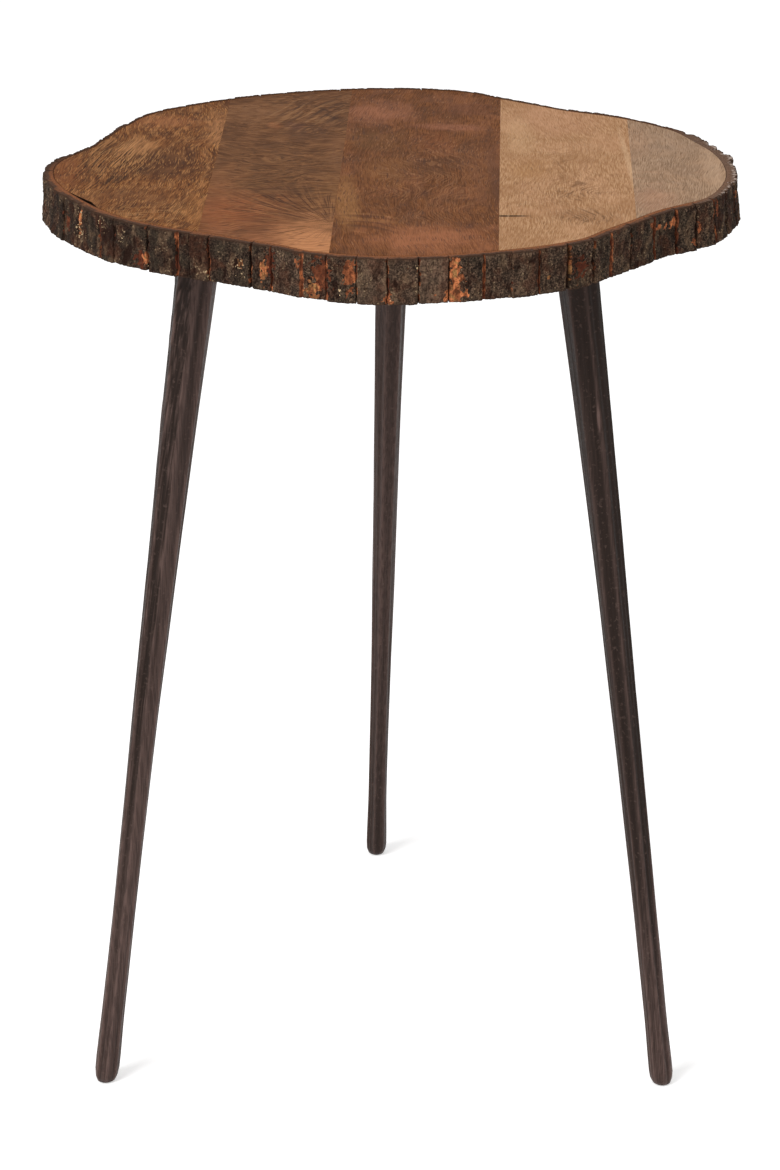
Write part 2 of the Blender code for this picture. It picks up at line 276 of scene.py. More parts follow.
def add_length(tree, vector):
    """How long a direction is."""
    return add_node(tree, "VectorMath", {"operation": "LENGTH"}, {0: vector}).outputs["Value"]


def add_mix(tree, share, *colours):
    """Two colours mixed by a share; each is an output, or given on a 0 to 255 scale."""
    first, second = (linear(*colour) if isinstance(colour, tuple) else colour for colour in colours)
    return add_node(tree, "Mix", {"data_type": "RGBA"}, {0: share, 6: first, 7: second}).outputs[2]


def add_fade(tree, value, start, end, low=0.0, high=1.0):
    """A value that eases from low to high while another goes from start to end."""
    settings = {"interpolation_type": "SMOOTHSTEP"}
    sockets = {0: value, 1: start, 2: end, 3: low, 4: high}
    return add_node(tree, "MapRange", settings, sockets).outputs[0]


def add_noise(tree, place, scale, detail, output=0):
    """Noise at a place."""
    sockets = {"Vector": place, "Scale": scale, "Detail": detail}
    return add_node(tree, "TexNoise", {}, sockets).outputs[output]


def object_place(tree):
    """The place on the table."""
    return add_node(tree, "TexCoord", {}, {}).outputs["Object"]


def read_mark(tree, name):
    """A mark that the mesh carries at its points."""
    return add_node(tree, "Attribute", {"attribute_name": name}, {}).outputs["Fac"]


def add_bump(tree, height, distance, strength):
    """A surface raised by a height."""
    sockets = {"Height": height, "Distance": distance, "Strength": strength}
    return add_node(tree, "Bump", {}, sockets).outputs[0]


def add_tints(tree, colour, tints):
    """A colour turned to other tones in turn, each up to its share as a value goes from start to end."""
    for value, start, end, share, tone in tints:
        colour = add_mix(tree, add_fade(tree, value, start, end, 0.0, share), colour, tone)
    return colour


def shader_group(name, inputs, output):
    """An empty shader node group with its named inputs and one value put out."""
    tree = bpy.data.node_groups.new(name, "ShaderNodeTree")
    for label, value in inputs.items():
        kind = "NodeSocketFloat" if isinstance(value, float) else "NodeSocketVector"
        tree.interface.new_socket(label, in_out="INPUT", socket_type=kind).default_value = value
    tree.interface.new_socket(output, in_out="OUTPUT", socket_type="NodeSocketFloat")
    return tree, tree.nodes.new("NodeGroupInput").outputs, tree.nodes.new("NodeGroupOutput").inputs


def place_group(tree, group, values):
    """A group set into a material with its own values."""
    return add_node(tree, "Group", {"node_tree": group}, values).outputs[0]


def ring_noise(tree, given, detail):
    """Noise drawn out along the growth rings round a far-off pith, wavering a little as it goes."""
    place = object_place(tree)
    waver = add_vector(tree, "SUBTRACT", add_noise(tree, place, 16.0, 2.0, "Color"), (0.5, 0.5, 0.5))
    waver = add_vector(tree, "MULTIPLY", waver, given["Waver"])
    from_pith = add_vector(tree, "SUBTRACT", add_vector(tree, "ADD", place, waver), given["Pith"])
    right, back, up = add_node(tree, "SeparateXYZ", {}, {0: from_pith}).outputs
    radius = add_length(tree, add_node(tree, "CombineXYZ", {}, {0: right, 1: back}).outputs[0])
    along = product(tree, add_math(tree, "ARCTAN2", back, right), given["Ring Radius"])
    stretched = {
        0: add_math(tree, "DIVIDE", radius, given["Width"]),
        1: add_math(tree, "DIVIDE", along, given["Length"]),
        2: product(tree, up, 120.0),
    }
    stretched = add_node(tree, "CombineXYZ", {}, stretched).outputs[0]
    sockets = {"Vector": stretched, "Scale": 1.0, "Detail": detail, "Roughness": 0.55}
    return add_node(tree, "TexNoise", {}, sockets).outputs[0]


# Fibres: long soft stripes of lighter and darker wood.
GRAIN_INPUTS = {"Pith": (1.0, 0.0, 0.0), "Ring Radius": 1.0, "Waver": 0.006, "Length": 0.05, "Width": 0.002}
fibres, given, put = shader_group("board_fibres", GRAIN_INPUTS, "Stripe")
fibres.links.new(ring_noise(fibres, given, 4.0), put["Stripe"])

# Pores: short dark dashes cut open by the planing.
pores, given, put = shader_group("board_pores", {**GRAIN_INPUTS, "Start": 0.6, "Gather": 0.36}, "Pore")
gather = add_math(pores, "SUBTRACT", add_noise(pores, object_place(pores), 55.0, 2.0), 0.5)
gather = product(pores, gather, given["Gather"])
dash = add_math(pores, "ADD", ring_noise(pores, given, 1.0), gather)
full = add_math(pores, "ADD", given["Start"], 0.07)
pores.links.new(add_fade(pores, dash, given["Start"], full), put["Pore"])

# Clouds: a stain, knot or paler patch with a ragged border at one place on a board.
CLOUD_INPUTS = {"Place": (0.0, 0.0, 0.0), "Reach": (0.03, 0.03, 1.0),
                "Turn": 0.0, "Ragged": 0.5, "Core": 0.2}
cloud, given, put = shader_group("board_cloud", CLOUD_INPUTS, "Cloud")
place = object_place(cloud)
sockets = {"Vector": add_vector(cloud, "SUBTRACT", place, given["Place"]), "Angle": given["Turn"]}
offset = add_node(cloud, "VectorRotate", {"rotation_type": "Z_AXIS"}, sockets).outputs[0]
offset = add_vector(cloud, "DIVIDE", offset, given["Reach"])
offset = add_vector(cloud, "MULTIPLY", offset, (1.0, 1.0, 0.0))
ragged = add_math(cloud, "SUBTRACT", add_noise(cloud, place, 70.0, 3.0), 0.5)
ragged = product(cloud, ragged, given["Ragged"])
distance = add_math(cloud, "ADD", add_length(cloud, offset), ragged)
cloud.links.new(add_fade(cloud, distance, given["Core"], 1.0, 1.0, 0.0), put["Cloud"])


def new_finish(name):
    """A new material, its node tree and its surface."""
    material = bpy.data.materials.new(name)
    material.use_nodes = True
    return material, material.node_tree, material.node_tree.nodes["Principled BSDF"]


def place_fibres(tree, pith, radius, waver, length, width):
    """Fibres of one length and width round a pith."""
    values = {"Pith": (*pith, 0.0), "Ring Radius": radius, "Waver": waver, "Length": length, "Width": width}
    return place_group(tree, fibres, values)


BAND_WAVER = 0.03


def board_wood(number, pith, waver, fibre, bands, clouds, figures, flecks):
    """One board's lacquered wood: fibres, smoky bands, stains, figure round branches and open pores."""
    material, tree, surface = new_finish(f"board_{number}_lacquered_wood")
    dark, light, length, width = fibre
    stripe = place_fibres(tree, pith, math.hypot(*pith), waver, length, width)
    streaky = add_fade(tree, stripe, 0.3, 0.6, 0.6, 1.0)
    colour = add_tints(tree, dark, ((stripe, 0.36, 0.64, 1.0, light),))
    shades = []
    for band_pith, length, width, share, shade_colour in bands:
        band = place_fibres(tree, band_pith, math.hypot(*band_pith), BAND_WAVER, length, width)
        shades.append((add_fade(tree, band, 0.47, 0.62), share, shade_colour))
    for spot, reach, turn, ragged, share, core, shade_colour in clouds:
        values = {"Place": (*spot, 0.0), "Reach": (*reach, 1.0),
                  "Turn": turn, "Ragged": ragged, "Core": core}
        shades.append((place_group(tree, cloud, values), share, shade_colour))
    for mask, share, shade_colour in shades:
        shade = product(tree, product(tree, mask, share), streaky)
        colour = add_mix(tree, shade, colour, shade_colour)
    for centre, radius, length, width, bend, spot, reach, share, line_colour in figures:
        lines = place_fibres(tree, centre, radius, bend, length, width)
        lines = add_fade(tree, lines, 0.5, 0.6, 0.0, share)
        near = place_group(tree, cloud, {"Place": (*spot, 0.0), "Reach": (*reach, 1.0)})
        colour = add_mix(tree, product(tree, lines, near), colour, line_colour)
    grain = {"Pith": (*pith, 0.0), "Ring Radius": math.hypot(*pith), "Waver": waver}
    for length, width, start, share, fleck_colour in flecks:
        dashes = place_group(tree, pores, {**grain, "Length": length, "Width": width, "Start": start})
        colour = add_mix(tree, product(tree, dashes, share), colour, fleck_colour)
    # The walls of the open joint are painted near black as painted shade.
    set_sockets(tree, surface, {
        "Base Color": add_mix(tree, read_mark(tree, "joint_shade"), colour, (24, 15, 10)),
        "Roughness": add_fade(tree, stripe, 0.2, 0.8, 0.55, 0.45),
        "Specular IOR Level": 0.02,
        "Normal": add_bump(tree, product(tree, dashes, -1.0), 0.0002, 0.4),
    })
    return material


def add_board(number, **wood):
    """One board, shaped between its seams and finished as its own piece of wood."""
    points, faces, joint_shade = board_shape(number)
    node_name = f"plank_{number}"
    material = board_wood(number, **wood)
    add_piece(f"board_{number}", points, faces, [node_name], material, {"joint_shade": joint_shade})


# Each board from left to right: its pith, the waver of its fibres, and the fibres' two colours, length and
# width. Bands: pith, length, width, share, colour. Clouds: place, reach, turn, raggedness, share, core,
# colour. Lines of the figure: centre, radius, length, width, waver, place, reach, share, colour. Flecks,
# with the pores last: length, width, start, share, colour.
add_board(
    1,
    pith=(-1.2, 0.1),
    waver=0.014,
    fibre=((74, 39, 16), (138, 86, 43), 0.01, 0.00055),
    bands=[
        ((-1.1, 0.12), 0.045, 0.012, 0.6, (76, 44, 24)),
        ((-1.2, 0.12), 0.03, 0.0045, 0.55, (168, 116, 71)),
        ((-1.2, 0.14), 0.016, 0.002, 0.5, (70, 41, 22)),
    ],
    clouds=[
        ((-0.165, 0.0164), (0.02, 0.034), 0.2, 0.8, 0.55, 0.1, (184, 130, 84)),
        ((-0.148, -0.0116), (0.034, 0.05), 0.2, 0.8, 0.9, 0.2, (64, 34, 16)),
        ((-0.206, -0.0316), (0.016, 0.07), 0.0, 0.5, 0.6, 0.2, (122, 70, 38)),
        ((-0.121, -0.1016), (0.009, 0.065), -0.03, 0.8, 0.5, 0.2, (154, 102, 58)),
        ((-0.112, 0.0634), (0.016, 0.056), 0.0, 0.8, 0.5, 0.2, (172, 120, 78)),
        ((-0.15, 0.0784), (0.04, 0.02), 0.0, 0.8, 0.5, 0.2, (152, 96, 60)),
        ((-0.16, -0.0836), (0.038, 0.03), 0.2, 0.8, 0.5, 0.2, (108, 69, 41)),
    ],
    figures=[
        ((-1.2, 0.2384), 1.05, 0.03, 0.0012, 0.008, (-0.18, -0.0176), (0.036, 0.076), 1.0, (42, 23, 12)),
        ((-1.2, 0.2384), 1.05, 0.02, 0.001, 0.008, (-0.172, 0.004), (0.036, 0.06), 0.6, (186, 134, 84)),
        ((-0.15, -0.145), 0.03, 0.022, 0.0034, 0.008, (-0.15, -0.112), (0.034, 0.03), 0.4, (164, 120, 78)),
    ],
    flecks=[
        (0.01, 0.0006, 0.6, 0.55, (188, 132, 78)),
        (0.012, 0.00055, 0.6, 0.7, (46, 26, 13)),
    ],
)
add_board(
    2,
    pith=(-0.1, 0.52),
    waver=0.045,
    fibre=((80, 49, 27), (113, 74, 44), 0.011, 0.0013),
    bands=[
        ((-0.1, 0.52), 0.032, 0.013, 0.35, (68, 43, 27)),
        ((-0.14, 0.6), 0.018, 0.007, 0.3, (142, 97, 62)),
    ],
    clouds=[
        ((-0.098, -0.1116), (0.056, 0.064), -0.35, 0.9, 0.75, 0.0, (152, 87, 51)),
        ((-0.08, -0.1736), (0.066, 0.056), 0.0, 0.8, 0.75, 0.0, (158, 99, 65)),
        ((-0.044, -0.176), (0.044, 0.08), 0.0, 0.9, 1.0, 0.1, (189, 129, 86)),
        ((-0.11, -0.0516), (0.03, 0.06), 0.1, 1.3, 0.45, 0.0, (148, 95, 59)),
        ((-0.034, -0.0716), (0.018, 0.062), -0.04, 1.0, 0.6, 0.0, (142, 97, 59)),
        ((-0.055, 0.0534), (0.022, 0.026), 0.0, 0.8, 0.55, 0.2, (76, 50, 35)),
        ((-0.088, 0.0984), (0.034, 0.03), 0.0, 0.8, 0.5, 0.2, (136, 94, 62)),
        ((-0.064, 0.0704), (0.01, 0.014), 0.0, 0.6, 0.55, 0.2, (76, 46, 38)),
        ((-0.0767, 0.0708), (0.007, 0.011), 0.0, 1.2, 0.6, 0.1, (152, 94, 58)),
        ((-0.034, 0.0084), (0.01, 0.06), -0.03, 0.7, 0.45, 0.2, (132, 90, 60)),
        ((-0.0465, 0.108), (0.003, 0.015), -0.6, 0.5, 0.9, 0.1, (56, 36, 25)),
        ((-0.0395, 0.089), (0.0028, 0.013), -0.6, 0.5, 0.9, 0.1, (56, 36, 25)),
    ],
    figures=[
        ((0.45, -0.19), 0.58, 0.036, 0.0026, 0.008, (-0.052, 0.1), (0.04, 0.055), 0.7, (62, 40, 28)),
        ((0.46, -0.19), 0.58, 0.03, 0.0034, 0.008, (-0.056, 0.096), (0.042, 0.058), 0.55, (150, 107, 70)),
        ((-0.0375, -0.132), 0.085, 0.0027, 0.036, 0.008,
         (-0.062, -0.106), (0.064, 0.074), 1.0, (72, 42, 25)),
        ((-0.0375, -0.132), 0.085, 0.005, 0.03, 0.008,
         (-0.056, -0.112), (0.058, 0.072), 0.32, (170, 117, 74)),
        ((-0.1, 0.52), 0.53, 0.016, 0.0016, 0.1, (-0.072, -0.03), (0.054, 0.1), 0.7, (62, 38, 22)),
        ((-0.14, 0.6), 0.62, 0.014, 0.0015, 0.1, (-0.072, -0.03), (0.054, 0.1), 0.3, (148, 104, 66)),
    ],
    flecks=[
        (0.005, 0.0013, 0.62, 0.3, (158, 108, 66)),
        (0.006, 0.0013, 0.6, 0.4, (54, 33, 18)),
    ],
)
add_board(
    3,
    pith=(1.2, -0.06),
    waver=0.01,
    fibre=((80, 45, 20), (127, 77, 39), 0.013, 0.0007),
    bands=[
        ((0.1, 1.0), 0.03, 0.055, 0.5, (78, 48, 29)),
        ((0.05, 1.1), 0.022, 0.032, 0.32, (154, 99, 67)),
        ((1.2, -0.06), 0.026, 0.0034, 0.4, (84, 52, 34)),
    ],
    clouds=[
        ((-0.01, 0.0984), (0.036, 0.038), 0.0, 0.9, 0.6, 0.2, (152, 99, 73)),
        ((0.052, 0.1064), (0.028, 0.018), 0.0, 0.7, 0.5, 0.3, (104, 64, 44)),
        ((0.036, 0.0664), (0.036, 0.01), 0.1, 0.8, 0.55, 0.2, (152, 98, 73)),
        ((0.012, -0.0016), (0.04, 0.044), 0.0, 0.8, 0.3, 0.3, (88, 57, 34)),
        ((-0.004, -0.03), (0.022, 0.044), 0.0, 0.9, 0.4, 0.1, (142, 94, 54)),
        ((0.028, 0.03), (0.02, 0.04), 0.0, 0.9, 0.4, 0.1, (128, 74, 44)),
        ((-0.01, 0.038), (0.028, 0.034), 0.0, 0.9, 0.45, 0.2, (104, 72, 42)),
        ((0.055, -0.0116), (0.018, 0.05), 0.0, 0.8, 0.35, 0.2, (134, 88, 60)),
        ((-0.028, -0.0916), (0.011, 0.068), -0.03, 0.7, 0.65, 0.3, (152, 106, 63)),
        ((0.022, -0.1616), (0.06, 0.042), 0.0, 0.8, 0.7, 0.2, (162, 102, 69)),
        ((0.066, -0.0416), (0.007, 0.17), -0.03, 0.5, 0.5, 0.2, (92, 58, 40)),
        ((0.0184, -0.0051), (0.0032, 0.007), 0.0, 0.9, 0.8, 0.3, (66, 38, 26)),
        ((0.021, -0.0726), (0.003, 0.008), 0.0, 0.9, 0.8, 0.3, (66, 38, 26)),
        ((0.0475, -0.1366), (0.004, 0.008), 0.0, 0.9, 0.7, 0.3, (76, 44, 30)),
    ],
    figures=[
        ((-0.032, -0.178), 0.05, 0.05, 0.0046, 0.008, (-0.012, -0.13), (0.026, 0.038), 0.25, (178, 124, 78)),
        ((-0.032, -0.178), 0.05, 0.044, 0.0036, 0.008, (-0.012, -0.134), (0.03, 0.044), 0.6, (82, 50, 32)),
        ((1.2, -0.06), 1.2, 0.03, 0.0014, 0.1, (0.02, -0.025), (0.062, 0.15), 0.55, (74, 44, 24)),
        ((1.2, 0.05), 1.2, 0.03, 0.0013, 0.1, (0.02, -0.05), (0.062, 0.15), 0.35, (156, 109, 74)),
    ],
    flecks=[
        (0.009, 0.0008, 0.65, 0.4, (166, 114, 78)),
        (0.013, 0.0007, 0.61, 0.7, (64, 38, 24)),
    ],
)
add_board(
    4,
    pith=(-1.3, 0.02),
    waver=0.01,
    fibre=((149, 107, 71), (187, 145, 107), 0.008, 0.0006),
    bands=[
        ((0.1, 1.0), 0.032, 0.06, 0.4, (148, 104, 69)),
        ((0.05, 1.2), 0.026, 0.044, 0.35, (200, 154, 118)),
        ((-1.3, 0.02), 0.022, 0.003, 0.35, (146, 104, 69)),
    ],
    clouds=[
        ((0.105, 0.0784), (0.05, 0.05), 0.0, 0.6, 0.4, 0.2, (184, 136, 104)),
        ((0.084, 0.0484), (0.014, 0.06), 0.0, 0.7, 0.45, 0.2, (192, 154, 114)),
        ((0.118, -0.0016), (0.02, 0.016), 0.5, 0.9, 0.45, 0.2, (146, 104, 68)),
        ((0.116, -0.1156), (0.024, 0.018), 0.0, 0.8, 0.4, 0.2, (136, 97, 66)),
        ((0.069, -0.1176), (0.019, 0.0016), 0.0, 0.12, 1.8, 0.5, (44, 25, 13)),
        ((0.088, -0.025), (0.022, 0.03), 0.0, 0.8, 0.4, 0.2, (172, 126, 80)),
        ((0.152, -0.0216), (0.003, 0.12), -0.03, 0.5, 0.6, 0.2, (200, 164, 128)),
    ],
    figures=[
        ((-1.3, 0.0), 1.3, 0.011, 0.0014, 0.07, (0.116, -0.067), (0.022, 0.034), 0.85, (110, 76, 50)),
        ((-1.3, 0.03), 1.3, 0.009, 0.0014, 0.07, (0.121, -0.118), (0.027, 0.026), 0.85, (112, 79, 53)),
        ((-0.9, -0.222), 1.0, 0.05, 0.0024, 0.008, (0.106, -0.028), (0.01, 0.044), 0.6, (122, 84, 52)),
        ((-1.3, 0.02), 1.3, 0.02, 0.0014, 0.09, (0.11, -0.03), (0.05, 0.12), 0.4, (132, 92, 60)),
    ],
    flecks=[
        (0.009, 0.0007, 0.65, 0.3, (206, 168, 130)),
        (0.009, 0.0006, 0.63, 0.4, (108, 73, 45)),
    ],
)
add_board(
    5,
    pith=(-1.1, 0.12),
    waver=0.012,
    fibre=((132, 104, 79), (172, 141, 114), 0.008, 0.0006),
    bands=[
        ((0.1, 1.0), 0.026, 0.044, 0.5, (138, 110, 88)),
        ((0.2, 1.2), 0.022, 0.036, 0.45, (182, 145, 114)),
        ((-1.1, 0.12), 0.018, 0.003, 0.4, (132, 104, 80)),
    ],
    clouds=[
        ((0.18, 0.0284), (0.03, 0.05), 0.0, 0.7, 0.45, 0.2, (146, 121, 100)),
        ((0.164, -0.088), (0.022, 0.05), 0.0, 0.7, 0.5, 0.1, (166, 122, 96)),
        ((0.16, 0.035), (0.014, 0.05), 0.0, 0.8, 0.5, 0.1, (164, 127, 99)),
        ((0.205, -0.0216), (0.01, 0.06), 0.0, 0.7, 0.5, 0.2, (180, 150, 123)),
        ((0.17, -0.0416), (0.012, 0.018), 0.6, 0.9, 0.4, 0.2, (130, 102, 78)),
    ],
    figures=[
        ((0.1615, -0.1), 0.03, 0.05, 0.007, 0.008, (0.162, -0.044), (0.012, 0.024), 0.6, (188, 136, 106)),
    ],
    flecks=[
        (0.008, 0.0007, 0.64, 0.3, (192, 164, 138)),
        (0.01, 0.0006, 0.615, 0.5, (98, 73, 52)),
    ],
)

# The dowels in the glued seams: smooth beech rods cut to length, two to a seam. They are glued into holes in
# both boards, so they lie wholly inside the top.


def turned_beech():
    """Pale straight-grained beech."""
    material, tree, surface = new_finish("dowel_beech")
    stripe = place_group(tree, fibres, {"Pith": (0.0, 9.0, 0.0), "Ring Radius": 9.0, "Width": 0.0006})
    colour = add_tints(tree, (196, 158, 116), ((stripe, 0.35, 0.65, 1.0, (214, 180, 140)),))
    set_sockets(tree, surface, {"Base Color": colour, "Roughness": 0.6})
    return material


def dress_nodes(starts, material):
    """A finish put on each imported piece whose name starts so."""
    for node_name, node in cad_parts.items():
        if node_name.startswith(starts):
            node.data.materials.clear()
            node.data.materials.append(material)


dress_nodes("dowel_", turned_beech())

# The bark strip round the edge: air-dried tree bark, sawn part-way through from the back so that it bends
# round the outline, glued on in lengths of three tiles. Where a cut opened, the rusty inner bark shows.
BARK_LENGTHS = 22
TILES_PER_LENGTH = 3
BARK_DEPTH = 0.0073
BARK_HEIGHT = 0.0285
BARK_ROWS = 26
LEAST_DEPTH = 0.0014
PLATE_RELIEF = 0.0010
GRAIN_RELIEF = 0.0004
CHIP_DEPTH = 0.0008
STEP_DEPTH = 0.0010
CRACK_DEPTH = 0.0006
ROT_DEPTH = 0.0014
ROUNDED_EDGE = 0.0004
RUST_REACH = 0.0016
CUT_WANDER = 0.0006
GLUE_GAP = 0.0002
EDGE_GAP = 0.0012
KERF_DEPTH = 0.0034
KERF_HALF_WIDTH = 0.00040
COLUMN_STEP = 0.0008
NEAR_CUT = (0.0002, 0.0005, 0.0009, 0.0014, 0.0020)
BARK_MARKS = ("bare", "tone", "shaded_hollow", "layer", "sawn", "tile", "painted_glint")

edge_run = [0.0]
for index in range(len(edge_line)):
    edge_run.append(edge_run[-1] + (edge_line[(index + 1) % len(edge_line)] - edge_line[index]).length)
edge_total = edge_run.pop()
edge_finder = kdtree.KDTree(len(edge_line))
for index, point in enumerate(edge_line):
    edge_finder.insert(point.to_3d(), index)
edge_finder.balance()


def edge_place(distance):
    """The point at a distance along the boards' edge, and the way outwards there."""
    distance %= edge_total
    index = bisect.bisect_right(edge_run, distance) - 1
    following = (index + 1) % len(edge_line)
    here, beyond = edge_line[index], edge_line[following]
    share = (distance - edge_run[index]) / (beyond - here).length
    return here.lerp(beyond, share), edge_outward[index].lerp(edge_outward[following], share)


def bark_ends(node_name):
    """Where a packed length of bark starts and ends along the boards' edge."""
    runs = []
    for corner in top_corners(node_name):
        index, gap = edge_finder.find(corner.to_3d())[1:]
        if gap < EDGE_GAP:
            runs.append(edge_run[index])
    if max(runs) - min(runs) > edge_total / 2:
        runs = [run + edge_total if run < edge_total / 2 else run for run in runs]
    return min(runs), max(runs)


# How rusty a cut's lips are, how far some cuts stand off an even spacing, which are tight, rusted through,
# fine or wide open, and how dark some tiles are. Cuts and tiles are counted from the right end.
LIP_RUST = {37: 0.5, 40: 0.6, 41: 1.2, 42: 0.1, 43: 0.9, 44: 0.8, 45: 0.7, 46: 1.2, 47: 0.8, 48: 0.5,
            49: 0.7, 50: 0.6, 51: 0.3, 52: 1.2, 53: 0.35, 54: 0.8, 55: 0.3, 56: 0.4, 57: 1.2, 58: 0.5,
            59: 0.8, 60: 0.9, 61: 0.25, 62: 0.8, 63: 0.3, 64: 0.35, 65: 0.3}
CUT_SHIFT = {38: 0.0060, 40: 0.0068, 41: 0.0095, 43: -0.0055, 44: 0.0048, 46: 0.0035, 52: 0.0024, 53: 0.0017,
             55: 0.002, 56: 0.0015, 59: 0.0032, 60: 0.0055, 61: 0.0045, 62: 0.0015}
TIGHT_CUTS = {34, 35, 36, 38, 39, 42, 53}
RUSTED_CUTS = {41, 46, 52, 57}
FINE_CUTS = range(45, 55)
OPEN_CUTS = range(55, 66)
TILE_TONES = {40: 1.05, 41: 0.95, 42: 1.05, 43: 0.9, 45: 0.3, 46: 0.6, 47: 0.7, 48: 0.05, 49: 0.2, 50: -0.1,
              51: 0.4, 52: 0.3, 53: 0.25, 54: 0.3, 55: 0.5, 56: 0.6, 59: 0.85, 60: 0.5, 61: 0.4, 62: 1.2,
              63: 1.1, 64: 1.1, 65: 1.0}

# Knobs of bark that stand out near the top at the back of the two ends: place along the edge, reach and
# height. At both ends the strip also flares out towards its lower edge.
KNOBS = (
    (0.0165, 0.0075, 0.0026),
    (0.0583, 0.0120, 0.0024),
    (0.5090, 0.0310, 0.0036),
    (0.5780, 0.0200, 0.0022),
)
FLARE_START = (0.13, 0.21)
RIGHT_FLARE = 0.0030
LEFT_FLARE = 0.0017

# Places where the outer bark is chipped off: distance along the edge, height share, reaches, tone, cover.
CHIPS = [
    (0.9168, 0.50, 0.0030, 0.0400, 0.90, 1.8),
    (0.9165, 0.20, 0.0085, 0.0044, 0.80, 1.0),
    (0.9190, 0.55, 0.0040, 0.0050, 0.75, 0.6),
    (0.8398, 0.58, 0.0060, 0.0130, 0.26, 0.76),
    (0.8561, 0.64, 0.0040, 0.0130, 0.42, 0.82),
    (0.8345, 0.22, 0.0040, 0.0075, 0.95, 0.9),
    (0.8258, 0.78, 0.0016, 0.0030, 0.80, 0.8),
    (0.8013, 0.45, 0.0030, 0.0080, 0.94, 0.8),
    (0.8060, 0.68, 0.0036, 0.0100, 0.10, 0.7),
    (0.7855, 0.55, 0.0030, 0.0036, 0.95, 0.5),
    (0.7200, 0.24, 0.0026, 0.0046, 0.85, 1.0),
    (0.7170, 0.24, 0.0062, 0.0064, 0.12, 0.7),
    (0.6632, 0.55, 0.0032, 0.0120, 0.95, 0.40),
    (0.6640, 0.74, 0.0022, 0.0060, 0.80, 0.7),
    (0.6480, 0.45, 0.0044, 0.0070, 0.15, 0.6),
    (1.0605, 0.80, 0.0030, 0.0030, 0.50, 0.65),
    (1.0662, 0.74, 0.0040, 0.0020, 0.60, 0.65),
    (1.0735, 0.68, 0.0036, 0.0030, 0.65, 0.65),
    (1.0800, 0.76, 0.0024, 0.0050, 0.75, 0.7),
    (1.1020, 0.50, 0.0022, 0.0042, 0.40, 0.7),
    (1.0975, 0.22, 0.0020, 0.0040, 0.55, 0.6),
    (1.0215, 0.50, 0.0018, 0.0140, 0.55, 0.8),
    (0.9880, 0.60, 0.0015, 0.0130, 1.00, 0.7),
    (0.9960, 0.45, 0.0056, 0.0090, 0.12, 0.6),
    (0.8785, 0.10, 0.0036, 0.0060, 0.55, 0.6),
    (0.9730, 0.72, 0.0009, 0.0014, 1.2, 1.2),
    (0.9745, 0.36, 0.0009, 0.0014, 1.2, 1.2),
]

# More chips lie at random along the back, and a few at the right end.
BACK_STRETCH = (0.0, 0.55)
BACK_CHIPS = 20
RIGHT_STRETCH = (1.115, 1.18)
RIGHT_CHIPS = 3
chance = random.Random(11)
for stretch in [BACK_STRETCH] * BACK_CHIPS + [RIGHT_STRETCH] * RIGHT_CHIPS:
    CHIPS.append((chance.uniform(*stretch), chance.uniform(0.2, 0.8), chance.uniform(0.0015, 0.0040),
                  chance.uniform(0.003, 0.011), chance.random(), chance.uniform(0.45, 0.75)))

# Places with painted glints, pale specks where the bark's grains catch the light, and rotted holes, which
# are painted dark as shade: distance along the edge, height share, reaches.
GLINTS = [
    (0.6635, 0.58, 0.0046, 0.0130),
    (0.6870, 0.78, 0.0060, 0.0050),
    (0.7030, 0.70, 0.0036, 0.0060),
    (0.7225, 0.20, 0.0030, 0.0050),
    (0.7622, 0.12, 0.0022, 0.0050),
    (0.7850, 0.40, 0.0050, 0.0080),
    (0.8500, 0.22, 0.0050, 0.0050),
    (0.8780, 0.12, 0.0024, 0.0050),
    (0.8960, 0.82, 0.0024, 0.0030),
]
HOLES = [
    (0.6920, 0.66, 0.0080, 0.0100),
    (0.7080, 0.45, 0.0060, 0.0120),
    (0.7400, 0.25, 0.0070, 0.0060),
    (0.7840, 0.52, 0.0040, 0.0040),
    (0.8480, 0.34, 0.0040, 0.0080),
]
NEAREST = 1.3


def near_places(places, along, up):
    """How near a point of the bark is to the closest of some places: most in its middle, 0 well outside."""
    near = 0.0
    for place, share, reach, tall in places:
        near = max(near, NEAREST - math.hypot((along - place) / reach, (up - share) * BARK_HEIGHT / tall))
    return near


def bark_cuts(number):
    """One length's cuts: its two ends and the two between its tiles, each with its place along the edge,
    half width, depth and rust."""
    start, end = bark_ends(f"bark_{number:02d}")
    cuts = []
    for cut in range(TILES_PER_LENGTH + 1):
        count = (TILES_PER_LENGTH * (number - 1) + cut) % (BARK_LENGTHS * TILES_PER_LENGTH)
        luck = random.Random(count)
        rust = LIP_RUST.get(count, luck.choice((0.0, 0.3, 0.5, 0.8)))
        width = KERF_HALF_WIDTH * luck.uniform(0.7, 1.4)
        depth = KERF_DEPTH * luck.uniform(0.75, 1.0)
        if count in TIGHT_CUTS:
            width, depth = KERF_HALF_WIDTH * 0.5, KERF_DEPTH * 0.3
        elif count in OPEN_CUTS:
            width *= 1.7
        elif count in FINE_CUTS:
            width, depth = width * 0.65, depth * 0.7
        if count in RUSTED_CUTS:
            depth *= 0.4
        place = start + (end - start) * cut / TILES_PER_LENGTH + CUT_SHIFT.get(count, 0.0)
        cuts.append((place, width, depth, rust))
    return cuts


def bark_columns(cuts):
    """Places along one length at which its section is drawn, closer together at the cuts."""
    places = [cut[0] for cut in cuts]
    columns = []
    for left, right in zip(places, places[1:]):
        columns.extend(left + step for step in NEAR_CUT)
        inner = right - left - 2 * NEAR_CUT[-1]
        steps = round(inner / COLUMN_STEP)
        columns.extend(left + NEAR_CUT[-1] + inner * step / steps for step in range(1, steps))
        columns.extend(right - step for step in reversed(NEAR_CUT))
    return columns


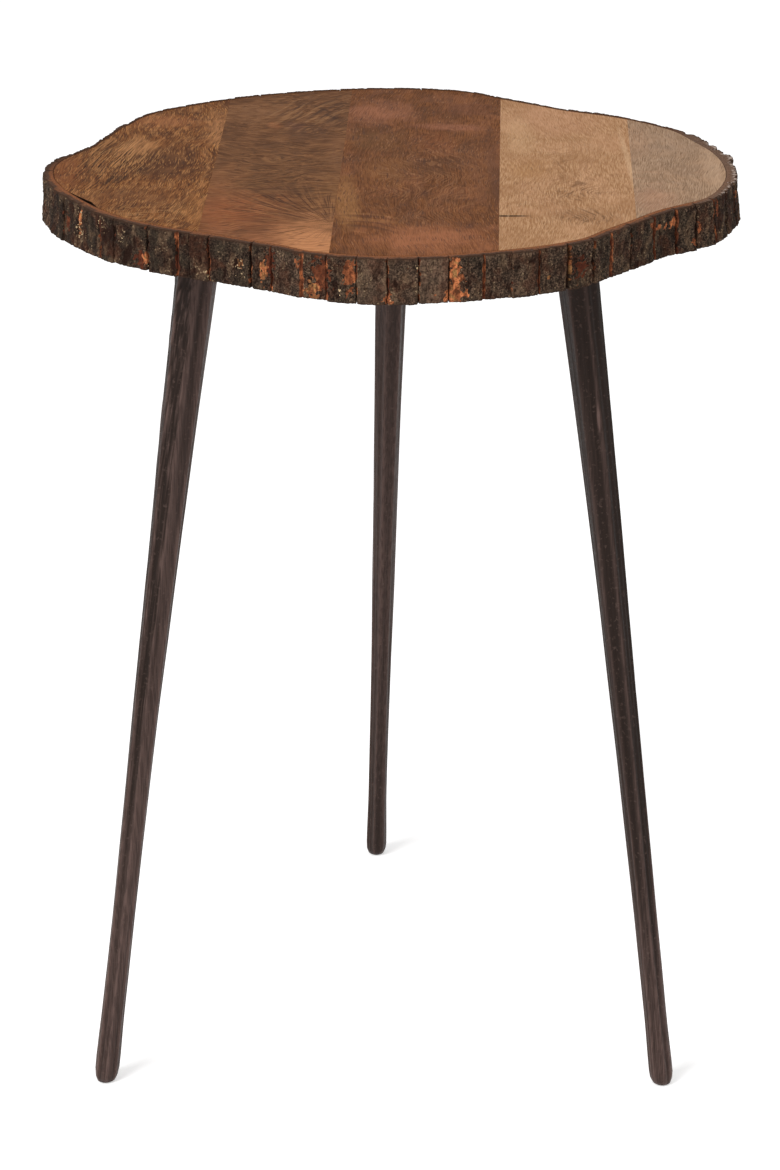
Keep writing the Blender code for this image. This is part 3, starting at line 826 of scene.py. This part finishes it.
def chipped(along, up):
    """How far the outer bark is missing at a place, and the tone of what shows."""
    missing, tone = 0.0, 0.5
    for place, share, reach, tall, chip_tone, cover in CHIPS:
        across = (along - place) / reach
        if abs(across) > 2:
            continue
        upward = (up - share) * BARK_HEIGHT / tall
        ragged = noise.fractal(Vector((along * 500, up * 14, place * 9)), 0.8, 2.0, 3)
        amount = cover * ease(1.1 - math.hypot(across, upward) + 0.8 * ragged, 0.0, 0.6)
        if amount > missing:
            missing, tone = amount, chip_tone
    return min(missing, 1.0), tone


def bark_noise(along, up, wide, tall, layer):
    """Smooth noise over the bark, with so many turns to a metre along the edge and to the strip's height."""
    return noise.noise(Vector((along * wide, up * tall, layer)))


def opened_cuts(cuts, along, up, ragged):
    """How deep the cuts are at a place, and how rusty their lips are."""
    shaded_hollow = rust = 0.0
    for place, width, depth, cut_rust in cuts:
        reach = width * (1 + 0.5 * ragged)
        aside = along - place - CUT_WANDER * bark_noise(place, up, 90, 5, 3.0)
        off = abs(aside)
        shaded_hollow = max(shaded_hollow, depth * (1 - ease(off, reach * 0.5, reach * 1.7)))
        lip = cut_rust * (1 - ease(off, reach, reach + RUST_REACH)) * (1.0 if aside > 0 else 0.55)
        rust = max(rust, lip)
    return shaded_hollow, rust


def bark_shape(number):
    """One length's points and faces, and the marks that its finish reads at each point."""
    low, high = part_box(f"bark_{number:02d}")
    height = high.z - low.z
    cuts = bark_cuts(number)
    columns = bark_columns(cuts)
    lowest = [(share, 0.0) for share in (0.0, 0.4, 0.75)]
    outer = [(1.0, row / BARK_ROWS) for row in range(BARK_ROWS + 1)]
    highest = [(share, 1.0) for share in (0.8, 0.62, 0.45, 0.28, 0.12, 0.0)]
    profile = lowest + outer + highest
    points, marks = [], []
    for along in columns:
        edge, outward = edge_place(along)
        tile = sum(1 for cut in cuts[1:-1] if along > cut[0])
        luck = random.Random(number * 7 + tile)
        rough_end = ease(edge.x, 0.17, 0.20)
        inner_out = GLUE_GAP + board_reach(edge)
        through = (along - cuts[tile][0]) / (cuts[tile + 1][0] - cuts[tile][0])
        step = through * min(board_reach(edge) / BACK_REACH, 1.0)
        knob = 0.0
        for place, reach, tall in KNOBS:
            knob = max(knob, tall * ease(1 - abs(along - place) / reach, 0.0, BLUNT_TOP))
        flare = RIGHT_FLARE * ease(edge.x, *FLARE_START) + LEFT_FLARE * ease(-edge.x, *FLARE_START)
        proud = luck.uniform(-0.0007, 0.0005) * (1 + 1.2 * rough_end)
        short_below = luck.uniform(-0.0003, 0.0006)
        tile_tone = luck.random() - 0.6 * ease(-edge.y, 0.15, 0.19) + 0.6 * ease(-edge.x, 0.06, 0.12)
        tile_tone = TILE_TONES.get(TILES_PER_LENGTH * (number - 1) + tile, tile_tone)
        for row, (share, up) in enumerate(profile):
            ragged = bark_noise(along, up, 300, 9, number)
            shaded_hollow, rust = opened_cuts(cuts, along, up, ragged)
            bare, tone = chipped(along, up)
            torn = noise.fractal(Vector((along * 420, up * 7, 4.0)), 0.8, 2.0, 3)
            lips = ease(1.2 * rust + 0.6 * torn, 0.25, 1.0)
            if lips > bare:
                bare, tone = lips, 0.3 + 0.5 * bark_noise(along, up, 60, 5, 9.0)
            plates = noise.fractal(Vector((along * 190, up * 3.2, 2.0)), 0.9, 2.1, 4)
            cracks = 1 - ease(abs(bark_noise(along, up, 330, 3.0, 8.0)), 0.0, 0.10)
            grains = bark_noise(along, up, 800, 24, 5.0)
            rotten = ease(near_places(HOLES, along, up) + 1.1 * plates, 0.4, 1.3) * (1 - bare)
            depth = BARK_DEPTH + proud + PLATE_RELIEF * plates + GRAIN_RELIEF * grains
            depth = depth - CHIP_DEPTH * bare - STEP_DEPTH * step
            depth += flare * (1 - up) ** 2 + knob * up
            depth -= CRACK_DEPTH * cracks * (1 - bare) + ROT_DEPTH * rotten
            depth = max(depth - shaded_hollow, inner_out + LEAST_DEPTH)
            corner = max(0.0, abs(up - 0.5) * 2 - 0.92) / 0.08
            depth -= (ROUNDED_EDGE + ROUNDED_EDGE * ragged) * corner ** 2
            place = edge + outward * (inner_out + share * (depth - inner_out))
            rise = low.z + up * height
            if up == 0.0:
                rise += short_below * share
            elif up == 1.0:
                rise += share * (0.0003 + 0.0005 * step + 0.0010 * rough_end * min(plates, 0.1))
            points.append((place.x, place.y, rise))
            sawn = 0.0 if len(lowest) < row < len(lowest) + len(outer) - 1 else 1.0
            tone += 0.25 * bark_noise(along, up, 380, 11, 6.0)
            # Painted shade: cracks, the low places between plates and rotted holes are marked to be darkened,
            # and so are the cuts, less so on the sawn top.
            sunken_shade = (0.55 * cracks + 0.35 * ease(-plates, 0.0, 0.6)) * (1 - bare) + rotten
            shaded_hollow = max(shaded_hollow / KERF_DEPTH * (1 - 0.65 * sawn), sunken_shade * (1 - sawn))
            layer = share if sawn else 1.0
            marks.append((bare, tone, shaded_hollow, layer, sawn, tile_tone, near_places(GLINTS, along, up)))
    rows = len(profile)
    faces = [tuple(range(rows)), tuple(reversed(range(len(points) - rows, len(points))))]
    for here, above, far_above, far in wall_faces(len(columns), rows):
        faces.append((here, far, far_above, above))
    return points, faces, dict(zip(BARK_MARKS, zip(*marks)))


def bark_material():
    """Grainy charcoal-brown bark over rusty inner bark; the sawn upper edge shows its layers."""
    material, tree, surface = new_finish("tree_bark")
    place = object_place(tree)
    bare, tone, shaded_hollow, layer, sawn, tile, glint_nearness = (read_mark(tree, name) for name in BARK_MARKS)
    fibre = add_noise(tree, add_vector(tree, "MULTIPLY", place, (1.0, 1.0, 0.14)), 620.0, 4.0)
    scale = add_noise(tree, add_vector(tree, "MULTIPLY", place, (1.0, 1.0, 0.4)), 190.0, 3.0)
    grain = add_noise(tree, place, 1000.0, 5.0)
    patch = add_noise(tree, place, 80.0, 4.0)
    blotch = add_noise(tree, place, 420.0, 4.0)
    crumbs = add_node(tree, "TexVoronoi", {}, {"Vector": place, "Scale": 1250.0}).outputs["Color"]
    pale, dark, bright = list(add_node(tree, "SeparateColor", {}, {0: crumbs}).outputs)[:3]
    towards_right, towards_back = list(add_node(tree, "SeparateXYZ", {}, {0: place}).outputs)[:2]

    colour = add_tints(tree, (24, 18, 15), (
        (grain, 0.40, 0.62, 1.0, (104, 83, 67)),
        (tile, 0.5, -0.4, 0.6, (138, 108, 88)),
        (tile, 0.5, 1.2, 0.75, (36, 25, 20)),
        (patch, 0.5, 0.62, 0.45, (78, 43, 28)),
        (patch, 0.5, 0.36, 0.4, (66, 58, 46)),
        (scale, 0.48, 0.36, 0.5, (112, 88, 68)),
        (scale, 0.54, 0.66, 0.45, (24, 17, 14)),
        (blotch, 0.5, 0.62, 0.45, (28, 20, 16)),
        (fibre, 0.54, 0.64, 0.45, (28, 19, 15)),
        (dark, 0.72, 0.9, 0.45, (26, 19, 15)),
    ))
    pale = add_fade(tree, add_math(tree, "ADD", pale, product(tree, glint_nearness, 0.04)), 0.92, 1.0)
    pale = product(tree, pale, add_fade(tree, scale, 0.54, 0.42, 0.1, 0.8))
    colour = add_mix(tree, pale, colour, (150, 126, 98))

    inner = add_tints(tree, (80, 38, 25), (
        (tone, 0.1, 0.8, 1.0, (208, 126, 80)),
        (tone, 0.88, 0.98, 1.0, (166, 120, 74)),
        (fibre, 0.46, 0.56, 0.68, (102, 56, 37)),
        (blotch, 0.50, 0.60, 0.65, (66, 36, 24)),
        (grain, 0.51, 0.63, 0.45, (52, 28, 19)),
    ))
    torn = add_math(tree, "ADD", product(tree, blotch, 0.8), product(tree, grain, 0.6))
    torn = add_math(tree, "SUBTRACT", add_math(tree, "ADD", bare, torn), 0.7)
    colour = add_mix(tree, add_fade(tree, torn, 0.36, 0.5), colour, inner)

    layers = add_tints(tree, (104, 62, 38), (
        (layer, 0.0, 0.15, 1.0, (138, 85, 53)),
        (layer, 0.3, 0.6, 1.0, (84, 60, 46)),
        (patch, 0.5, 0.62, 0.5, (146, 92, 60)),
        (towards_back, -0.05, 0.0, 0.8, (64, 45, 35)),
        (towards_right, *RIGHT_END_START, 0.8, (116, 92, 76)),
        (layer, 0.78, 0.98, 1.0, (62, 44, 34)),
        (grain, 0.45, 0.62, 0.6, (54, 35, 25)),
    ))
    # Paler frayed patches on the sawn top at the right end, partly a painted highlight along that edge.
    frayed_and_highlight = product(tree, add_fade(tree, layer, 0.5, 0.8), add_fade(tree, blotch, 0.5, 0.56))
    frayed_and_highlight = product(tree, frayed_and_highlight, add_fade(tree, towards_right, 0.200, 0.212, 0.0, 0.8))
    layers = add_mix(tree, frayed_and_highlight, layers, (186, 168, 156))
    colour = add_mix(tree, sawn, colour, layers)

    # Painted shade: the cuts, cracks, low places between plates and rotted holes are darkened.
    colour = add_tints(tree, colour, ((shaded_hollow, 0.15, 0.8, 0.85, (34, 18, 12)),))
    # Painted glints: pale specks near the listed places, where the bark's grains catch the light.
    painted_glint = product(tree, add_fade(tree, bright, 0.92, 0.97), add_fade(tree, glint_nearness, 0.1, 0.7))
    set_sockets(tree, surface, {
        "Base Color": add_mix(tree, painted_glint, colour, (206, 176, 136)),
        "Roughness": add_fade(tree, grain, 0.3, 0.7, 0.95, 0.75),
        "Specular IOR Level": 0.08,
        "Normal": add_bump(tree, grain, 0.0006, 0.8),
    })
    return material


tree_bark = bark_material()
for number in range(1, BARK_LENGTHS + 1):
    points, faces, marks = bark_shape(number)
    node_name = f"bark_{number:02d}"
    piece = add_piece(f"bark_strip_{number:02d}", points, faces, [node_name], tree_bark, marks)
    piece.data.shade_smooth()

# The three legs: cast aluminium, sand-cast to look hand forged, with long uneven ridges and a rounded foot,
# then darkened to bronze brown. Each is held under the top by a bolt into its upper end.
LEG_SIDES = 98
LEG_FLATS = 7
LEG_RING_STEP = 0.002
LEG_DEPTH_TO_WIDTH = 1.07
BROAD_RELIEF = 0.0006
RIDGE_RELIEF = 0.0008
LINE_RELIEF = 0.0003
PIT_RELIEF = 0.0005
LEG_NOISES = ((1.3, 3), (3.2, 5), (9, 14))
FOOT_HEIGHT = 0.02
FOOT_REACH = 0.0038

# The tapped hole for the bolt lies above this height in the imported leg, and reaches less far than the leg.
HOLE_HEIGHT = 0.55
HOLE_REACH = 0.006

# Two nicks in the front of the right leg, painted bright: in part bare metal, in part a painted highlight,
# with how far each reaches.
HIGHLIT_NICKS = ((Vector((0.1298, -0.1137, 0.4761)), 0.0018), (Vector((0.1292, -0.1145, 0.4657)), 0.0014))


def leg_stations(node_name):
    """Height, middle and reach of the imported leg's section at each of its rings."""
    rings = {}
    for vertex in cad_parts[node_name].data.vertices:
        rings.setdefault(round(vertex.co.z, 4), []).append(vertex.co.xy)
    stations = []
    for rise, ring in sorted(rings.items()):
        distinct = {(round(point.x, 5), round(point.y, 5)): point for point in ring}.values()
        middle = sum(distinct, Vector((0.0, 0.0))) / len(distinct)
        reach = max((point - middle).length for point in distinct)
        if reach > FOOT_REACH and not (rise > HOLE_HEIGHT and reach < HOLE_REACH):
            stations.append((rise, middle, reach))
    return stations


def at_height(stations, rise):
    """The leg's middle and reach at any height, in line between its stations."""
    heights = [station[0] for station in stations]
    index = min(max(bisect.bisect_right(heights, rise) - 1, 0), len(stations) - 2)
    start, end = stations[index], stations[index + 1]
    share = (rise - start[0]) / (end[0] - start[0])
    return start[1].lerp(end[1], share), start[2] + (end[2] - start[2]) * share


def leg_shape(node_name, seed, turn, pitted, rubbed, leg_shade):
    """One leg's points and faces, with how raised and rubbed bright each point is, and where it is
    darkened as painted shade or lit as a painted highlight.
    """
    stations = leg_stations(node_name)
    top = stations[-1][0]
    heights = [station[0] for station in stations if station[0] < FOOT_HEIGHT]
    steps = round((top - heights[-1]) / LEG_RING_STEP)
    heights.extend(heights[-1] + (top - heights[-1]) * step / steps for step in range(1, steps + 1))
    outward = (stations[0][1] - stations[-1][1]).normalized()
    across = Vector((-outward.y, outward.x))
    flat = math.pi / LEG_FLATS
    points, wear_and_painted_light = [], []
    for rise in heights:
        middle, reach = at_height(stations, rise)
        leg_shade_here = leg_shade[0] + (leg_shade[1] - leg_shade[0]) * ease(rise, 0.0, 0.3)
        for side in range(LEG_SIDES):
            angle = math.tau * side / LEG_SIDES
            east, north = math.cos(angle), math.sin(angle)
            arris = math.cos(flat) / math.cos((angle - turn) % (2 * flat) - flat)
            broad, ridge, line = (noise.noise(Vector((east * wide + seed, north * wide, rise * tall)))
                                  for wide, tall in LEG_NOISES)
            pit = noise.fractal(Vector((east * 9 + seed, north * 9, rise * 240)), 0.7, 2.0, 2)
            outer = ease(math.cos(angle - 0.2), 0.5, 0.75)
            pitting = pitted * outer * ease(rise, 0.16, 0.34)
            relief = reach * (arris - 0.97)
            rough = BROAD_RELIEF * broad + RIDGE_RELIEF * ridge + LINE_RELIEF * line
            relief += rough + PIT_RELIEF * pit * (0.05 + pitting)
            relief *= ease(rise, 0.0, 0.012)
            out = reach + relief
            point = middle + outward * out * east + across * out * north / LEG_DEPTH_TO_WIDTH
            points.append((point.x, point.y, rise))
            # Painted shade: each leg is darker by its own amount, and darker on its outward side; the pitting
            # darkens it too.
            painted_shade_and_pitting = leg_shade_here + 0.26 * outer * ease(rise, 0.05, 0.45) + 0.1 * pitting
            worn = rubbed * (5 * (arris - 0.93) + 0.2 * broad + 0.25 * ridge + 0.2 * line)
            place = Vector(points[-1])
            nick_highlight = max(0.0, *(1 - (place - nick).length / nick_reach for nick, nick_reach in HIGHLIT_NICKS))
            wear_and_painted_light.append(0.5 + worn + 0.7 * pit * pitting - painted_shade_and_pitting + 4 * nick_highlight)
    return points, tube_faces(len(heights), LEG_SIDES), wear_and_painted_light


def leg_material():
    """Dark bronze-brown patina, rubbed paler along the ridges, with fine lengthwise streaks."""
    material, tree, surface = new_finish("dark_bronze_casting")
    place = object_place(tree)
    wear_and_painted_light = read_mark(tree, "wear_and_painted_light")
    streak = add_noise(tree, add_vector(tree, "MULTIPLY", place, (1.0, 1.0, 0.05)), 900.0, 4.0)
    cast = add_noise(tree, place, 420.0, 4.0)
    # The mark lightens the ridges where they are worn, and its low values are painted shade.
    colour = add_tints(tree, (37, 26, 21), (
        (wear_and_painted_light, 0.0, 0.9, 1.0, (98, 78, 72)),
        (streak, 0.42, 0.62, 0.45, (30, 21, 17)),
        (cast, 0.55, 0.75, 0.35, (105, 86, 79)),
        # The nicks, painted near white as highlights.
        (wear_and_painted_light, 1.5, 2.3, 1.0, (196, 182, 178)),
    ))
    height = add_math(tree, "ADD", product(tree, streak, 0.6), product(tree, cast, 0.5))
    set_sockets(tree, surface, {
        "Base Color": colour,
        "Roughness": add_fade(tree, cast, 0.3, 0.7, 0.42, 0.6),
        "Metallic": 0.3,
        "Specular IOR Level": 0.15,
        "Normal": add_bump(tree, height, 0.0004, 0.5),
    })
    return material


# Each leg's name, the seed of its ridges, the turn of its flats, how pitted and how rubbed it is, and how
# much painted shade darkens it at its foot and above.
LEGS = (
    ("left", 2.0, 0.20, 1.0, 0.8, (0.0, 0.0)),
    ("right", 13.0, 0.10, 0.2, 0.9, (-0.06, 0.36)),
    ("back", 27.0, 0.05, 0.2, 0.5, (0.24, 0.10)),
)
bronze_casting = leg_material()
for leg_name, *traits in LEGS:
    node_name = f"leg_{leg_name}"
    points, faces, wear_and_painted_light = leg_shape(node_name, *traits)
    marks = {"wear_and_painted_light": wear_and_painted_light}
    piece = add_piece(f"cast_leg_{leg_name}", points, faces, [node_name], bronze_casting, marks)
    piece.data.shade_smooth()

# The plates and bolts: a turned and blacked steel disc under the top at each leg, and the countersunk bolt
# that goes down through it into the leg's tapped end. The bolts are wholly hidden.


def blacked_steel():
    """Steel turned on a lathe and blacked in oil, rubbed bare in places."""
    material, tree, surface = new_finish("blacked_steel")
    places = add_node(tree, "TexCoord", {}, {}).outputs
    radius = add_length(tree, add_vector(tree, "SUBTRACT", places["Generated"], (0.5, 0.5, 0.5)))
    turning = add_math(tree, "SINE", product(tree, radius, 260.0))
    rubbed = add_noise(tree, places["Object"], 240.0, 3.0)
    colour = add_tints(tree, (36, 35, 34), (
        (turning, -1.0, 1.0, 0.5, (56, 54, 53)),
        (rubbed, 0.52, 0.7, 0.6, (96, 93, 90)),
    ))
    set_sockets(tree, surface, {
        "Base Color": colour,
        "Roughness": add_fade(tree, rubbed, 0.3, 0.7, 0.5, 0.34),
        "Metallic": 0.9,
    })
    return material


dress_nodes(("leg_plate_", "leg_bolt_"), blacked_steel())

# The plate screws: zinc-plated countersunk wood screws with a rolled thread and a cross recess, three driven
# up through each plate into the boards.
SCREW_SIDES = 48
HEAD_RINGS = 16
HEAD_HEIGHT = 0.0027
SHANK_RADIUS = 0.00225
THREAD_START = 0.007
THREAD_PITCH = 0.002
THREAD_FULL = THREAD_START + THREAD_PITCH
THREAD_HEIGHT = 0.0006
RINGS_PER_PITCH = 5
POINT_LENGTH = 0.005
RECESS_DEPTH = 0.0016
RECESS_HALF_WIDTH = (0.0004, 0.0006)
RECESS_REACH = (0.0018, 0.0024)


def recess_arm(along, aside):
    """How deep one arm of the cross recess is at a place on the head, as a share."""
    return (1 - ease(abs(aside), *RECESS_HALF_WIDTH)) * (1 - ease(abs(along), *RECESS_REACH))


def screw_shape(node_name):
    """One screw's points and faces, from the middle of its head's face up to its tip."""
    low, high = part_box(node_name)
    middle = (low + high) / 2
    length = high.z - low.z
    head_radius = (high.x - low.x) / 2
    rings = [(head_radius * step / HEAD_RINGS, 0.0) for step in range(1, HEAD_RINGS + 1)]
    rings.append((SHANK_RADIUS, HEAD_HEIGHT))
    shank_steps = round((length - HEAD_HEIGHT) / (THREAD_PITCH / RINGS_PER_PITCH))
    for step in range(1, shank_steps + 1):
        rise = HEAD_HEIGHT + (length - HEAD_HEIGHT) * step / shank_steps
        taper = min(1.0, (length - rise) / POINT_LENGTH)
        rings.append((SHANK_RADIUS * (0.2 + 0.8 * taper), rise))
    points = []
    for radius, rise in rings:
        thread = THREAD_HEIGHT * ease(rise, THREAD_START, THREAD_FULL) * radius / SHANK_RADIUS
        for side in range(SCREW_SIDES):
            angle = math.tau * side / SCREW_SIDES
            valley = 0.5 - 0.5 * math.cos(math.tau * rise / THREAD_PITCH - angle)
            out = radius - thread * valley
            east, north = out * math.cos(angle), out * math.sin(angle)
            recess = max(recess_arm(east, north), recess_arm(north, east)) if rise == 0.0 else 0.0
            points.append((middle.x + east, middle.y + north, low.z + rise + RECESS_DEPTH * recess))
    tip = tuple(range(len(points) - SCREW_SIDES, len(points)))
    points.append((middle.x, middle.y, low.z + RECESS_DEPTH))
    head = [(len(points) - 1, (side + 1) % SCREW_SIDES, side) for side in range(SCREW_SIDES)]
    return points, [tip, *head, *wall_faces(len(rings), SCREW_SIDES)]


def zinc_plating():
    """Bright zinc, a little clouded."""
    material, tree, surface = new_finish("zinc_plated_steel")
    cloudy = add_noise(tree, object_place(tree), 700.0, 2.0)
    set_sockets(tree, surface, {
        "Base Color": add_tints(tree, (146, 144, 136), ((cloudy, 0.35, 0.65, 1.0, (188, 185, 174)),)),
        "Roughness": add_fade(tree, cloudy, 0.3, 0.7, 0.3, 0.45),
        "Metallic": 1.0,
    })
    return material


SCREW_NODES = "plate_screw"
screw_zinc = zinc_plating()
for node_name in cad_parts:
    if node_name.startswith(SCREW_NODES):
        points, faces = screw_shape(node_name)
        name = node_name.replace(SCREW_NODES, "wood_screw")
        add_piece(name, points, faces, [node_name], screw_zinc, {})

# The studio: a plain pale floor that keeps the table's shadow, white surroundings, one large soft lamp high
# on the left and a weaker one on the right, and the camera of the photograph.
WHITE = (1.0, 1.0, 1.0, 1.0)
PALE = (0.9, 0.9, 0.9, 1.0)
FLOOR_HALF = 8.0
scene = bpy.context.scene
scene.view_settings.view_transform = "Standard"


def seen_rays(tree):
    """1 for the rays that show the white ground: straight, through glass, or in a gloss."""
    rays = add_node(tree, "LightPath", {}, {}).outputs
    seen = add_math(tree, "MAXIMUM", rays["Is Camera Ray"], rays["Is Transmission Ray"])
    return add_math(tree, "MAXIMUM", seen, rays["Is Glossy Ray"])


world = bpy.data.worlds.new("studio_surroundings")
scene.world = world
world.use_nodes = True
tree = world.node_tree
strength = add_fade(tree, seen_rays(tree), 0.0, 1.0, 0.5, 1.0)
set_sockets(tree, tree.nodes["Background"], {"Color": WHITE, "Strength": strength})

floor_mesh = bpy.data.meshes.new("studio_floor")
corners = ((-1, -1), (1, -1), (1, 1), (-1, 1))
floor_mesh.from_pydata([(x * FLOOR_HALF, y * FLOOR_HALF, 0) for x, y in corners], [], [(0, 1, 2, 3)])
floor = add_object("studio_floor", floor_mesh)
paper, tree, surface = new_finish("pale_paper_floor")
glow = add_fade(tree, add_length(tree, object_place(tree)), 2.0, 7.0, 0.4, 0.5)
behind = add_node(tree, "NewGeometry", {}, {}).outputs["Backfacing"]
set_sockets(tree, surface, {
    "Base Color": PALE,
    "Roughness": 0.9,
    "Specular IOR Level": 0.1,
    "Emission Color": WHITE,
    "Emission Strength": product(tree, seen_rays(tree), glow),
    "Alpha": add_math(tree, "SUBTRACT", 1.0, behind),
})
floor_mesh.materials.append(paper)


def add_lamp(name, place, aim, size, power):
    """A square soft lamp turned to its aim."""
    lamp_data = bpy.data.lights.new(name, "AREA")
    lamp_data.size = size
    lamp_data.energy = power
    lamp = add_object(name, lamp_data)
    lamp.location = place
    lamp.rotation_euler = (Vector(aim) - Vector(place)).to_track_quat("-Z", "Y").to_euler()


add_lamp("soft_lamp_left", (-3.2, -3.0, 4.4), (0.0, 0.0, 0.4), 2.8, 240.0)
add_lamp("soft_lamp_right", (3.6, -1.2, 3.8), (0.0, 0.0, 0.4), 2.4, 40.0)

camera_data = bpy.data.cameras.new("photo_camera")
camera_data.lens = 111.25
camera_data.sensor_width = 36.0
camera = add_object("photo_camera", camera_data)
camera.location = (-0.00085, -2.22797, 1.31466)
camera.rotation_euler = (math.radians(65.708), 0.0, 0.0)
scene.camera = camera
